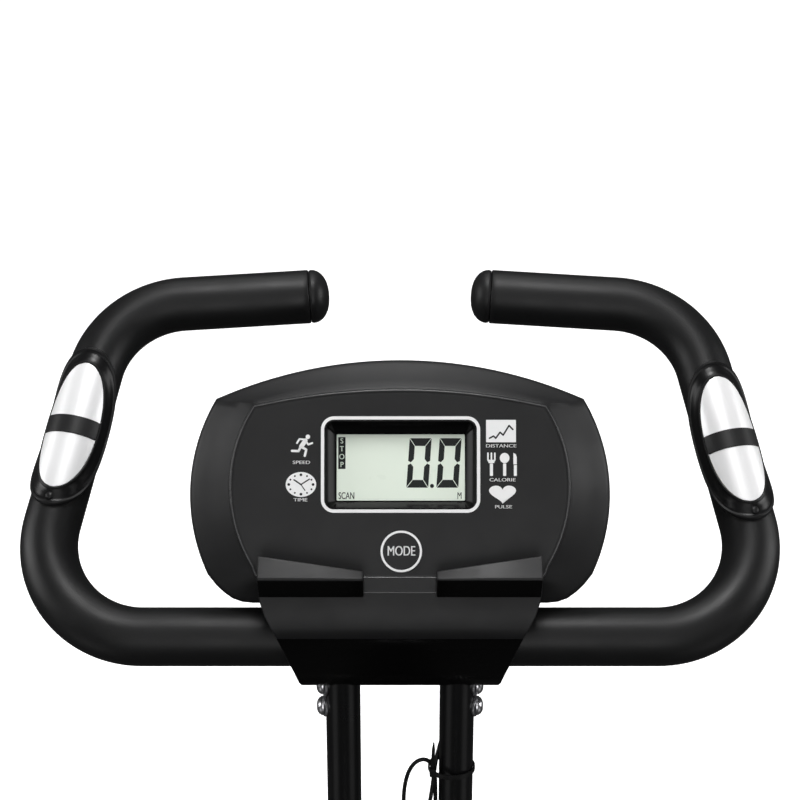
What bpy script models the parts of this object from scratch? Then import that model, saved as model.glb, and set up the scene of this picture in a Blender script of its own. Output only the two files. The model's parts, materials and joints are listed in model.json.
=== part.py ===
"""A folding upright exercise bike with an X-shaped frame.

The rider sits towards -Y and faces +Y; +X is the rider's right and +Z is up. The origin is on the
floor under the middle of the bike. Every size below is in millimetres, and MM turns it into metres.

The main frame is one slanted tube from the front foot to the seat. The rear frame is a pair of tubes
from the rear foot to the handlebar, which straddles the main tube and folds about the pivot bolt.
"""

from math import acos, atan2, ceil, cos, pi, radians, sin, sqrt, tan

import bmesh
import bpy
from mathutils import Matrix, Vector

MM = 0.001
GAP = 0.35  # clearance between two pieces that touch on the real bike

# Frame, in side view (y, z)
FRONT_FOOT = (285.0, 32.8)
REAR_FOOT = (-380.0, 32.8)
FOOT_R = 25.0
FOOT_HALF = 165.0
CAP_R = 34.0
MAIN_LEAN = radians(36.0)  # of the main tube, backwards from vertical
MAIN_START = (285.0, 45.0)
MAIN_R = 22.0
MAIN_BORE_R = 19.4
MAIN_LENGTH = 760.0
PIVOT_AT = 520.0  # along the main tube
POST_LEAN = radians(17.0)  # of the handlebar post, forwards from vertical
TUBE_SPACING = 76.0  # between the centres of the rear frame's two tubes
REAR_TUBE_R = 14.0
POST_R = 11.6
BEND = (42.0, 540.0)  # where the rear frame's tubes turn upright
SOCKET_LENGTH = 95.0  # of the rear tube above the bend, which holds the post
REAR_START_UP = 11.0  # of the rear tubes' lower ends above the rear foot's centre
REAR_BEND_R = 150.0
POST_BASE = 36.0  # of the post's lower end above the bend
POST_TOP = 26.0  # of the post's upper end below the bar's centre
POST_WALL = 1.6
KNOB_BELOW = 330.0  # of the tension knob, down the post from the bar
LOCK_AT = 42.0  # of the folding lock's pin, up the rear tube from the pivot
LOCK_PIN_R = 5.0
BOSS_BELOW_TOP = 36.0  # of the seat pin's boss, down the main tube from its top
BOLT_HOLE_R = 6.3
WHEEL = (311.0, 32.0)
WHEEL_R = 16.0
WHEEL_OUT = 17.0  # of the transport wheels, out from the ends of the front foot

# Drive
CRANK = (121.0, 333.5)
CRANK_LENGTH = 110.0
CRANK_ANGLE = radians(-38.0)  # of the right arm, from straight ahead
CRANK_PULLEY_R = 80.0
CRANK_AXLE_R = 7.4
SPINDLE_R = 6.5
PEDAL_X = 114.0
STRAP_AHEAD = 24.0  # of the pedal's spindle
FLYWHEEL = (200.0, 470.0)
FLYWHEEL_R = 96.0
FLYWHEEL_HALF = 12.0
FLYWHEEL_PULLEY_R = 14.0
MAGNET_PIVOT_R = 106.0  # of the magnet arm's pin from the flywheel's axis
MAGNET_PIVOT_AT = radians(112.0)
MAGNET_PIVOT = (
    FLYWHEEL[0] + MAGNET_PIVOT_R * cos(MAGNET_PIVOT_AT),
    FLYWHEEL[1] + MAGNET_PIVOT_R * sin(MAGNET_PIVOT_AT),
)
BELT_X = 29.0  # centre plane of the belt
BELT_WIDTH = 8.0
BELT_THICK = 1.6
HOUSING_X = 40.0  # outer half width of the drive housing
HOUSING_WALL = 2.5
HOUSING_CRANK_R = 98.0
HOUSING_FLYWHEEL_R = 116.0

# Handlebar, in the plane of its loop: x to the side and w up the loop from the lower bar
BAR = (175.0, 975.0)  # centre of the lower bar in side view
LOOP_RISE = radians(28.75)  # of the loop's plane above horizontal
BAR_R = 12.7
FOAM_R = 19.25
LOOP_LOW_CORNER = (250.0, 0.6)
LOOP_HIGH_CORNER = (205.4, 241.8)
LOOP_END = (65.1, 251.2)
LOW_CORNER_R = 67.0
HIGH_CORNER_R = 65.0
FOAM_INNER_END = 70.0  # x where the foam stops on the lower bar
END_CAP_LENGTH = 13.0
BRACKET_OUTLINE = (  # of the plate that carries the console, as (v, n) on the console's face
    (-50, -34), (-30, -46), (-22, -55.5), (40, -55.5), (40, -59), (-24, -59), (-33, -50), (-52, -38),
)
BRACKET_HALF = 18.0

# Pulse sensors, clipped on the straight slanted part of each grip
SENSOR_AT = {-1: 144.8, 1: 134.4}  # middle of the left and right one, up from the loop's lower corner
SENSOR_HALF = 59.0  # along the grip
SENSOR_SPREAD = radians(98.0)  # half of what the clip covers round the grip
SENSOR_TURN = radians(3.0)  # outwards from the top of the loop
SENSOR_RIM_R = 22.2
SENSOR_BED_R = 20.7
PLATE_HALF = 45.0
PLATE_SPREAD = radians(52.0)
PLATE_GAP = 13.0  # between a sensor's two plates
PLATE_INNER_R = 21.2
PLATE_OUTER_R = 22.1

# Console, in its own frame: x to the side, v up the face, n out of the face towards the rider
CONSOLE_RISE = radians(40.0)  # of the face's normal above horizontal
CONSOLE_ORIGIN = (6.0, 53.0)  # of the face's lower edge from the bar's centre, in side view
CONSOLE_WALL = 2.5
CONSOLE_SPLIT_N = -27.0
CONSOLE_BACK_N = -54.0
WINDOW = (-50.8, 51.4, 38.6, 100.6)  # x and v limits of the window's mouth
GLASS = (-41.2, 42.0, 46.1, 88.9)
GLASS_N = -7.0
MODE_AT = (0.7, 13.9)
MODE_R = 12.6
BATTERY = (-34.0, 34.0, 60.0, 98.0)  # x and v limits of the hatch in the back

# Cables
CABLE_R = 1.4
TENSION_CABLE_R = 2.4
TIE_BELOW = 96.0  # of the cable tie, down the post from the bar

# Seat
SEAT_POST_R = 19.0
SEAT_POST_FROM = 585.0  # along the main tube's line
SEAT_TOP_AT = 886.0
SEAT_CENTRE_Y = -272.0
SEAT_BASE_Z = 768.0

PALETTE = {
    "black_paint": ((0.018, 0.018, 0.020), 0.35, 0.0),
    "foam": ((0.016, 0.016, 0.017), 0.90, 0.0),
    "black_plastic": ((0.022, 0.022, 0.024), 0.45, 0.0),
    "gloss_plastic": ((0.008, 0.008, 0.009), 0.15, 0.0),
    "steel": ((0.62, 0.62, 0.63), 0.30, 1.0),
    "chrome": ((0.85, 0.85, 0.86), 0.08, 1.0),
    "cast_iron": ((0.20, 0.20, 0.21), 0.45, 1.0),
    "rubber": ((0.015, 0.015, 0.015), 0.80, 0.0),
    "seat_vinyl": ((0.020, 0.020, 0.022), 0.55, 0.0),
    "lcd": ((0.66, 0.73, 0.64), 0.20, 0.0),
    "board_green": ((0.02, 0.16, 0.06), 0.50, 0.0),
    "sensor_steel": ((0.86, 0.86, 0.87), 0.15, 1.0),
}

# These are cut with the manifold solver, because the exact one leaves open edges in them.
SLANTED_FRAMES = ("main_frame", "rear_frame", "handlebar", "handlebar_post")

bodies = {}
helpers = bpy.data.collections.new("helpers")


# ---------------------------------------------------------------- places and frames


def side_point(origin, along, across=0.0, lean=0.0):
    """A point in side view, along a line that leans forwards by lean, and across it to the front."""
    y = origin[0] + along * sin(lean) + across * cos(lean)
    z = origin[1] + along * cos(lean) - across * sin(lean)
    return (y, z)


def on_main(along, across=0.0):
    """A point of the main tube's line in side view; across is up and forwards of the tube."""
    y = MAIN_START[0] - along * sin(MAIN_LEAN) + across * cos(MAIN_LEAN)
    z = MAIN_START[1] + along * cos(MAIN_LEAN) + across * sin(MAIN_LEAN)
    return (y, z)


PIVOT = on_main(PIVOT_AT)
BOSS_AT = on_main(MAIN_LENGTH - BOSS_BELOW_TOP)
REAR_START = (REAR_FOOT[0], REAR_FOOT[1] + REAR_START_UP)
REAR_UP = Vector((0, BEND[0] - REAR_START[0], BEND[1] - REAR_START[1])).normalized()
MAIN_UP = Vector((0, -sin(MAIN_LEAN), cos(MAIN_LEAN)))
MAIN_FRONT = Vector((0, cos(MAIN_LEAN), sin(MAIN_LEAN)))
POST_UP = Vector((0, sin(POST_LEAN), cos(POST_LEAN)))
POST_BACK = Vector((0, -cos(POST_LEAN), sin(POST_LEAN)))
LOOP_UP = Vector((0, cos(LOOP_RISE), sin(LOOP_RISE)))
LOOP_FACE = Vector((0, -sin(LOOP_RISE), cos(LOOP_RISE)))
FACE_N = Vector((0, -cos(CONSOLE_RISE), sin(CONSOLE_RISE)))
FACE_V = Vector((0, sin(CONSOLE_RISE), cos(CONSOLE_RISE)))
FACE_ORIGIN = Vector((0, BAR[0] + CONSOLE_ORIGIN[0], BAR[1] + CONSOLE_ORIGIN[1]))
RIGHT = Vector((1, 0, 0))


def at(x, side):
    return Vector((x, side[0], side[1]))


def on_rear(above_pivot, x):
    """A point of the rear frame's lower line, measured up it from the pivot."""
    return at(x, PIVOT) + above_pivot * REAR_UP


def on_loop(x, w, out=0.0):
    return Vector((x, BAR[0], BAR[1])) + w * LOOP_UP + out * LOOP_FACE


def on_face(x, v, n):
    return FACE_ORIGIN + x * RIGHT + v * FACE_V + n * FACE_N


def on_post(x, below, back=0.0):
    """A point by the handlebar post, measured down its axis from the bar's centre."""
    return Vector((x, BAR[0], BAR[1])) - below * POST_UP + back * POST_BACK


# ---------------------------------------------------------------- scene helpers


def clear_scene():
    for old in list(bpy.data.objects):
        bpy.data.objects.remove(old)
    bpy.context.scene.collection.children.link(helpers)
    helpers.hide_render = True


def material(name):
    found = bpy.data.materials.get(name)
    if found:
        return found
    colour, roughness, metallic = PALETTE[name]
    made = bpy.data.materials.new(name)
    made.use_nodes = True
    shader = made.node_tree.nodes["Principled BSDF"]
    shader.inputs["Base Color"].default_value = (*colour, 1)
    shader.inputs["Roughness"].default_value = roughness
    shader.inputs["Metallic"].default_value = metallic
    return made


def body(name, pivot, parent=None):
    """An empty on a body's joint axis. The pieces of the body are its children."""
    empty = bpy.data.objects.new("body_" + name, None)
    bpy.context.scene.collection.objects.link(empty)
    spot = Vector(pivot) * MM
    if parent:
        empty.parent = bodies[parent][0]
        empty.location = spot - bodies[parent][1]
    else:
        empty.location = spot
    bodies[name] = (empty, spot)


def solid(name, bm, look, on):
    """Turns a bmesh in millimetres and world axes into a named piece of a body, or into a helper."""
    bmesh.ops.recalc_face_normals(bm, faces=bm.faces)
    mesh = bpy.data.meshes.new(name)
    bm.to_mesh(mesh)
    bm.free()
    mesh.transform(Matrix.Scale(MM, 4))
    piece = bpy.data.objects.new(name, mesh)
    if on is None:
        helpers.objects.link(piece)
        piece.hide_render = True
        piece.display_type = "WIRE"
        return piece
    empty, spot = bodies[on]
    mesh.transform(Matrix.Translation(-spot))
    mesh.materials.append(material(look))
    mesh.shade_smooth()
    mesh.set_sharp_from_angle(angle=radians(38))
    bpy.context.scene.collection.objects.link(piece)
    piece.parent = empty
    return piece


def combine(piece, other, operation):
    """Adds a Boolean with a hidden helper. EXACT leaves gaps where the frames' slanted tubes meet."""
    modifier = piece.modifiers.new(operation.lower(), "BOOLEAN")
    modifier.operation = operation
    modifier.solver = "MANIFOLD" if piece.name in SLANTED_FRAMES else "EXACT"
    modifier.object = other


def weld(piece, *others):
    for other in others:
        combine(piece, other, "UNION")
    return piece


def cut(piece, *others):
    for other in others:
        combine(piece, other, "DIFFERENCE")
    return piece


def soften(piece, width, segments=2, angle=40):
    """Rounds a piece's sharp edges."""
    bevel = piece.modifiers.new("bevel", "BEVEL")
    bevel.width = width * MM
    bevel.segments = segments
    bevel.limit_method = "ANGLE"
    bevel.angle_limit = radians(angle)
    return piece


# ---------------------------------------------------------------- shape helpers


def bridge(bm, first, second):
    """Joins two rings of vertices, either of which may be a single point."""
    count = max(len(first), len(second))
    for i in range(count):
        j = (i + 1) % count
        if len(first) == 1:
            bm.faces.new((first[0], second[j], second[i]))
        elif len(second) == 1:
            bm.faces.new((first[i], first[j], second[0]))
        else:
            bm.faces.new((first[i], first[j], second[j], second[i]))


def lofted(rings, closed=False):
    """A solid through rings of points. Closed joins the last ring to the first, as in a hollow tube."""
    bm = bmesh.new()
    loops = [[bm.verts.new(p) for p in ring] for ring in rings]
    for first, second in zip(loops, loops[1:]):
        bridge(bm, first, second)
    if closed:
        bridge(bm, loops[-1], loops[0])
    else:
        for loop in (loops[0], loops[-1]):
            if len(loop) > 2:
                bm.faces.new(loop)
    return bm


def frame_of(axis):
    """Two directions square to an axis, and to each other."""
    axis = Vector(axis).normalized()
    start = RIGHT if abs(axis.x) < 0.9 else Vector((0, 0, 1))
    first = (start - axis * start.dot(axis)).normalized()
    return first, axis.cross(first)


def circle(centre, axis, radius, sides, turn=0.0):
    first, second = frame_of(axis)
    steps = [turn + 2 * pi * k / sides for k in range(sides)]
    return [Vector(centre) + radius * (cos(a) * first + sin(a) * second) for a in steps]


def turned(profile, origin, axis, sides=24, closed=False):
    """A turned solid. The profile is (radius, height along the axis); radius 0 closes an end."""
    axis = Vector(axis).normalized()
    rings = []
    for radius, height in profile:
        centre = Vector(origin) + height * axis
        rings.append([centre] if radius == 0 else circle(centre, axis, radius, sides))
    return lofted(rings, closed)


def rod(start, end, radius, sides=20):
    axis = Vector(end) - Vector(start)
    return turned([(radius, 0), (radius, axis.length)], start, axis, sides)


def pipe(start, end, outer, inner, sides=20):
    axis = Vector(end) - Vector(start)
    long = axis.length
    return turned([(outer, 0), (outer, long), (inner, long), (inner, 0)], start, axis, sides, True)


def rings_along(path, radius, sides):
    """Circles square to a path, without twist."""
    path = [Vector(p) for p in path]
    tangents = []
    for k in range(len(path)):
        before, after = path[max(k - 1, 0)], path[min(k + 1, len(path) - 1)]
        tangents.append((after - before).normalized())
    first, second = frame_of(tangents[0])
    rings = []
    for point, tangent in zip(path, tangents):
        first = (first - tangent * first.dot(tangent)).normalized()
        second = tangent.cross(first)
        steps = [2 * pi * k / sides for k in range(sides)]
        rings.append([point + radius * (cos(a) * first + sin(a) * second) for a in steps])
    return rings


def swept(path, outer, inner=None, sides=16):
    """A tube along a path: solid, or hollow and open at both ends."""
    rings = rings_along(path, outer, sides)
    if inner is None:
        return lofted(rings)
    return lofted(rings + rings_along(path, inner, sides)[::-1], closed=True)


def rounded_path(corners, radii, step=radians(17)):
    """A path through corners, each inner one rounded to its radius."""
    corners = [Vector(p) for p in corners]
    path = [corners[0]]
    for before, corner, after, radius in zip(corners, corners[1:], corners[2:], radii):
        back, on = (before - corner).normalized(), (after - corner).normalized()
        half = acos(max(-1, min(1, back.dot(on)))) / 2
        centre = corner + (back + on).normalized() * radius / sin(half)
        first = corner + back * radius / tan(half) - centre
        last = corner + on * radius / tan(half) - centre
        sweep = first.angle(last)
        count = max(2, ceil(sweep / step))
        for k in range(count + 1):
            path.append(centre + radius * first.slerp(last, k / count))
    return path + [corners[-1]]


def prism(outline, origin, u, w, depth_axis, low, high):
    """An outline of (u, w) points, extruded from low to high along the depth axis."""
    flat = [Vector(origin) + a * Vector(u) + b * Vector(w) for a, b in outline]
    deep = Vector(depth_axis)
    return lofted([[p + low * deep for p in flat], [p + high * deep for p in flat]])


def block(centre, size, axes=None):
    """A box about a centre, along the world axes or three given ones."""
    a, b, c = axes or (RIGHT, Vector((0, 1, 0)), Vector((0, 0, 1)))
    half = [s / 2 for s in size]
    outline = [(-half[0], -half[1]), (half[0], -half[1]), (half[0], half[1]), (-half[0], half[1])]
    return prism(outline, centre, a, b, c, -half[2], half[2])


def side_prism(outline, low, high):
    """An outline in side view (y, z), extruded from x = low to high."""
    return prism(outline, (0, 0, 0), (0, 1, 0), (0, 0, 1), (1, 0, 0), low, high)


def arc(centre, radius, start, end, count):
    """Points of an arc from one angle to another, in radians."""
    steps = [start + (end - start) * k / count for k in range(count + 1)]
    return [(centre[0] + radius * cos(a), centre[1] + radius * sin(a)) for a in steps]


def inset(outline, by):
    """An outline moved inwards by a distance. It runs anticlockwise."""
    moved = []
    for k, point in enumerate(outline):
        here = Vector(point)
        back = (here - Vector(outline[k - 1])).normalized()
        on = (Vector(outline[(k + 1) % len(outline)]) - here).normalized()
        side = (Vector((-back.y, back.x)) + Vector((-on.y, on.x))).normalized()
        share = max(0.5, side.dot(Vector((-on.y, on.x))))
        moved.append(tuple(here + side * by / share))
    return moved


def capsule(first, r1, second, r2, count=12):
    """The belt-like outline round two circles, anticlockwise."""
    dx, dy = second[0] - first[0], second[1] - first[1]
    heading = atan2(dy, dx)
    lean = acos((r1 - r2) / sqrt(dx * dx + dy * dy))
    near = arc(first, r1, heading + lean, heading + 2 * pi - lean, count)
    far = arc(second, r2, heading - lean, heading + lean, count)
    return near + far


# ---------------------------------------------------------------- main frame and feet


def make_main_frame():
    main_rod = rod(at(0, on_main(2)), at(0, on_main(MAIN_LENGTH)), MAIN_R, 24)
    tube = solid("main_frame", main_rod, "black_paint", "main_frame")
    saddle = solid("saddle", block(at(0, (285, 62)), (84, 56, 16)), None, None)
    neck_start, neck_end = at(0, on_main(MAIN_LENGTH - 32)), at(0, on_main(MAIN_LENGTH))
    collar = solid("collar", rod(neck_start, neck_end, MAIN_R + 4, 24), None, None)
    shell = solid("crank_shell", rod(at(-34, CRANK), at(21.5, CRANK), 19, 24), None, None)
    bush = solid("pivot_bush", rod(at(-23.2, PIVOT), at(23.2, PIVOT), 12, 20), None, None)
    disc = solid("lock_disc", rod(at(17.6, PIVOT), at(21.2, PIVOT), 54, 28), None, None)
    boss_at = at(0, BOSS_AT)
    boss = solid("pin_boss", rod(boss_at - 15 * MAIN_FRONT, boss_at - 38 * MAIN_FRONT, 10, 16), None, None)
    weld(tube, saddle, collar, shell, bush, disc, boss)
    for side, name in ((-1, "left_plate"), (1, "right_plate")):
        outline = arc(FLYWHEEL, 20, radians(-60), radians(130), 8)
        outline += [on_main(395, 6), on_main(300, 6)]
        low, high = sorted((side * 17.4, side * 20.6))
        weld(tube, solid(name, side_prism(outline, low, high), None, None))
        strut = capsule(FLYWHEEL, 12, MAGNET_PIVOT, 5.5, 6)
        weld(tube, solid("magnet_strut", side_prism(strut, low, high), None, None))
    pin = rod(at(-19, MAGNET_PIVOT), at(19, MAGNET_PIVOT), 3, 12)
    weld(tube, solid("magnet_pin", pin, None, None))
    bore = rod(at(0, on_main(-30)), at(0, on_main(MAIN_LENGTH + 20)), MAIN_BORE_R, 24)
    foot = rod(at(-60, FRONT_FOOT), at(60, FRONT_FOOT), FOOT_R + GAP, 20)
    cut(tube, solid("foot_cut", foot, None, None), solid("main_bore", bore, None, None))
    inner = solid("pivot_sleeve", rod(at(-20.5, PIVOT), at(20.5, PIVOT), 11, 20), None, None)
    crank_tube = solid("crank_tube", rod(at(-21, CRANK), at(21, CRANK), 18.8, 24), None, None)
    weld(tube, inner, crank_tube)
    cut(
        tube,
        solid("pivot_hole", rod(at(-40, PIVOT), at(40, PIVOT), BOLT_HOLE_R, 20), None, None),
        solid("crank_hole", rod(at(-50, CRANK), at(50, CRANK), 15.2, 24), None, None),
        solid("axle_hole", rod(at(-40, FLYWHEEL), at(40, FLYWHEEL), BOLT_HOLE_R, 16), None, None),
        solid("pin_hole", rod(boss_at, boss_at - 50 * MAIN_FRONT, LOCK_PIN_R + GAP, 16), None, None),
        solid("lock_hole", rod(on_rear(LOCK_AT, 0), on_rear(LOCK_AT, 60), LOCK_PIN_R + GAP, 16), None, None),
    )


def make_foot(end, place, on):
    """A stabiliser tube with its two plastic end caps."""
    tube = pipe(at(-FOOT_HALF, place), at(FOOT_HALF, place), FOOT_R, FOOT_R - 1.8, 20)
    solid(end + "_stabilizer", tube, "black_paint", on)
    for side, name in ((-1, "left"), (1, "right")):
        profile = [(FOOT_R - 2.3, -16), (FOOT_R - 2.3, GAP), (CAP_R - 3, GAP), (CAP_R, 4), (CAP_R, 24)]
        profile += [(CAP_R - 4, 31), (0, 33)]
        cup = turned([(0, -16)] + profile, at(side * FOOT_HALF, place), side * RIGHT, 20)
        cap = solid(f"{end}_cap_{name}", cup, "black_plastic", on)
        below_floor = block(at(side * (FOOT_HALF + 10), (place[0], -20)), (80, 80, 40))
        cut(cap, solid("below_floor", below_floor, None, None))
        if end == "front":
            middle = side * (FOOT_HALF + WHEEL_OUT)
            slot = block(at(middle, (WHEEL[0] + 11, WHEEL[1] - 3)), (11.4, 60, 60))
            cut(cap, solid("wheel_slot", slot, None, None))
            pin = rod(at(middle - 9, WHEEL), at(middle + 9, WHEEL), 2.6, 12)
            weld(cap, solid("wheel_pin", pin, None, None))
            tread = WHEEL_R - 1.5
            profile = [(3, -4.6), (tread, -4.6), (WHEEL_R, -3), (WHEEL_R, 3), (tread, 4.6), (3, 4.6)]
            wheel = turned(profile, at(middle, WHEEL), RIGHT, 20, True)
            solid("transport_wheel_" + name, wheel, "rubber", "wheel_" + name)


# ---------------------------------------------------------------- rear frame and post


def make_rear_frame():
    top = side_point(BEND, SOCKET_LENGTH, 0, POST_LEAN)
    tubes = []
    for side in (-1, 1):
        x = side * TUBE_SPACING / 2
        path = rounded_path([at(x, REAR_START), at(x, BEND), at(x, top)], [REAR_BEND_R], radians(8))
        tubes.append((x, path))
    frame = solid("rear_frame", swept(tubes[0][1], REAR_TUBE_R, None, 14), "black_paint", "rear_frame")
    weld(frame, solid("right_tube", swept(tubes[1][1], REAR_TUBE_R, None, 14), None, None))
    half = TUBE_SPACING / 2
    for name, along in (("low_brace", -440), ("high_brace", 118)):
        spot = on_rear(along, 0)
        if along > 0:
            spot = at(0, side_point(BEND, 30, 0, POST_LEAN))
        weld(frame, solid(name, rod(spot - half * RIGHT, spot + half * RIGHT, 9, 16), None, None))
    weld(frame, solid("foot_saddle", block(at(0, (REAR_FOOT[0] + 6, 62)), (112, 50, 14)), None, None))
    foot = rod(at(-70, REAR_FOOT), at(70, REAR_FOOT), FOOT_R + GAP, 20)
    cut(frame, solid("rear_foot_cut", foot, None, None))
    for x, path in tubes:
        line = [path[0] - 30 * REAR_UP] + path[1:-1] + [path[-1] + 20 * POST_UP]
        bore = swept(line, POST_R + GAP, None, 14)
        cut(frame, solid("rear_bore", bore, None, None))
    cut(frame, solid("rear_pivot_hole", rod(at(-80, PIVOT), at(80, PIVOT), BOLT_HOLE_R, 20), None, None))
    lock = rod(on_rear(LOCK_AT, 0), on_rear(LOCK_AT, 80), LOCK_PIN_R + GAP, 16)
    cut(frame, solid("rear_lock_hole", lock, None, None))


def make_pivot_bolt():
    profile = [(0, -60), (7, -59), (10, -55), (10, -52.6), (6, -52.6), (6, 52.6), (10, 52.6)]
    profile += [(10, 55), (7, 59), (0, 60)]
    solid("pivot_bolt", turned(profile, at(0, PIVOT), RIGHT, 20), "steel", "main_frame")


def make_post():
    """The two upright tubes, joined by the plate that carries the tension knob."""
    base = BAR[1] - side_point(BEND, POST_BASE, 0, POST_LEAN)[1]
    low, high = base / cos(POST_LEAN), POST_TOP
    half = TUBE_SPACING / 2
    left = rod(on_post(-half, low), on_post(-half, high), POST_R, 20)
    post = solid("handlebar_post", left, "black_paint", "rear_frame")
    right = rod(on_post(half, low), on_post(half, high), POST_R, 20)
    plate = block(on_post(0, KNOB_BELOW, 0), (TUBE_SPACING - 12, 56, 4), (RIGHT, POST_UP, POST_BACK))
    weld(post, solid("right_post", right, None, None), solid("knob_plate", plate, None, None))
    for side in (-1, 1):
        bore = rod(on_post(side * half, low + 10), on_post(side * half, high - 10), POST_R - POST_WALL, 20)
        cut(post, solid("post_bore", bore, None, None))
    hole = rod(on_post(0, KNOB_BELOW, -20), on_post(0, KNOB_BELOW, 20), 6, 16)
    cut(post, solid("knob_hole", hole, None, None))


def make_tension_knob():
    """A lobed knob whose stem turns in the plate."""
    profile = [(0, -14), (5.6, -14), (5.6, 2.6), (13, 2.6), (13, 12), (0, 12)]
    stem = turned(profile, on_post(0, KNOB_BELOW), POST_BACK, 16)
    knob = solid("tension_knob", stem, "black_plastic", "tension_knob")
    lobes = 8
    outline = []
    for k in range(lobes * 4):
        angle = 2 * pi * k / (lobes * 4)
        radius = 21 + 1.8 * cos(lobes * angle)
        outline.append((radius * cos(angle), radius * sin(angle)))
    grip = prism(outline, on_post(0, KNOB_BELOW), RIGHT, POST_UP, POST_BACK, 9, 31)
    pointer = block(on_post(0, KNOB_BELOW - 11, 32), (4, 18, 4), (RIGHT, POST_UP, POST_BACK))
    weld(knob, solid("grip", grip, None, None), solid("pointer", pointer, None, None))


def make_lock_pin():
    """The spring pin on the rear frame's right tube, which locks it to the main frame's disc."""
    profile = [(0, 22), (LOCK_PIN_R, 22), (LOCK_PIN_R, 60), (9, 60), (15, 66), (17, 80), (15, 92), (0, 95)]
    solid("fold_lock_pin", turned(profile, on_rear(LOCK_AT, 0), RIGHT, 20), "black_plastic", "fold_lock_pin")


# ---------------------------------------------------------------- handlebar


def loop_path(side, from_x=0.0):
    corners = [
        on_loop(side * from_x, LOOP_LOW_CORNER[1]),
        on_loop(side * LOOP_LOW_CORNER[0], LOOP_LOW_CORNER[1]),
        on_loop(side * LOOP_HIGH_CORNER[0], LOOP_HIGH_CORNER[1]),
        on_loop(side * LOOP_END[0], LOOP_END[1]),
    ]
    return rounded_path(corners, [LOW_CORNER_R, HIGH_CORNER_R])


def make_handlebar():
    left, right = loop_path(-1), loop_path(1)
    path = left[::-1][:-1] + right[1:]
    bar = solid("handlebar", swept(path, BAR_R, BAR_R - 1.5, 12), "black_paint", "rear_frame")
    for side in (-1, 1):
        x = side * TUBE_SPACING / 2
        stub = rod(on_post(x, 0), on_post(x, 84), POST_R - POST_WALL - GAP, 20)
        weld(bar, solid("stub", stub, None, None))
    back = on_face(0, 0, 0)
    plate = prism(BRACKET_OUTLINE, back, FACE_V, FACE_N, RIGHT, -BRACKET_HALF, BRACKET_HALF)
    weld(bar, solid("console_plate", plate, None, None))
    for side, half in ((-1, left), (1, right)):
        foam_end = [on_loop(side * FOAM_INNER_END, LOOP_LOW_CORNER[1])] + half[1:]
        name = "left" if side < 0 else "right"
        foam = swept(foam_end, FOAM_R, BAR_R + 2 * GAP, 14)
        solid("foam_grip_" + name, foam, "foam", "rear_frame")
        out = (half[-1] - half[-2]).normalized()
        dome = [(0, 0), (FOAM_R - 0.6, 0), (FOAM_R - 0.6, 1.6), (FOAM_R - 1.6, 5)]
        dome += [(FOAM_R - 5, 9.2), (FOAM_R - 11, 12.2), (0, END_CAP_LENGTH)]
        cap = turned(dome, half[-1] + out * GAP, out, 16)
        solid("grip_end_cap_" + name, cap, "black_plastic", "rear_frame")


def straight_grip(side):
    """The middle and direction of the straight, slanted part of the grip, pointing up the loop."""
    low = on_loop(side * LOOP_LOW_CORNER[0], LOOP_LOW_CORNER[1])
    high = on_loop(side * LOOP_HIGH_CORNER[0], LOOP_HIGH_CORNER[1])
    along = (high - low).normalized()
    middle = low + along * SENSOR_AT[side]
    return middle, along


def grip_point(side, s, angle, radius):
    """A point round the grip: s along it from the sensor's middle, angle from the sensor's centre."""
    middle, along = straight_grip(side)
    outward = along.cross(LOOP_FACE).normalized()
    if outward.x * side < 0:
        outward = -outward
    turned_by = angle + SENSOR_TURN
    return middle + s * along + radius * (cos(turned_by) * LOOP_FACE + sin(turned_by) * outward)


def oval_shell(side, half, spread, profile, inner):
    """An oval cap wrapped on the grip. Profile is (share of the way out, radius), from the middle."""
    around = 20

    def ring(share, radius):
        points = []
        for k in range(around):
            a = 2 * pi * k / around
            points.append(grip_point(side, share * half * sin(a), share * spread * cos(a), radius))
        return points

    rings = [[grip_point(side, 0, 0, profile[0][1])]]
    rings += [ring(share, radius) for share, radius in profile]
    rings += [ring(share, inner) for share, _ in reversed(profile)]
    rings.append([grip_point(side, 0, 0, inner)])
    return lofted(rings)


def make_sensors():
    shell_profile = [(share, SENSOR_BED_R) for share in (0.2, 0.4, 0.6, 0.79)]
    shell_profile += [(0.80, SENSOR_RIM_R), (0.90, SENSOR_RIM_R), (1.0, SENSOR_BED_R - GAP)]
    for side, name in ((-1, "left"), (1, "right")):
        shell = oval_shell(side, SENSOR_HALF, SENSOR_SPREAD, shell_profile, FOAM_R + 2 * GAP)
        solid("pulse_sensor_shell_" + name, shell, "black_plastic", "rear_frame")
        for end, label in ((1, "upper"), (-1, "lower")):
            rows = 6
            columns = 8
            sheets = []
            for radius in (PLATE_INNER_R, PLATE_OUTER_R):
                sheet = []
                for i in range(rows + 1):
                    s = PLATE_GAP / 2 + (PLATE_HALF - PLATE_GAP / 2 - 1.0) * i / rows
                    wide = PLATE_SPREAD * sqrt(max(0.02, 1 - (s / PLATE_HALF) ** 2))
                    steps = [-wide + 2 * wide * j / columns for j in range(columns + 1)]
                    sheet.append([grip_point(side, end * s, a, radius) for a in steps])
                sheets.append(sheet)
            solid(f"pulse_plate_{label}_{name}", slab(*sheets), "sensor_steel", "rear_frame")


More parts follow.
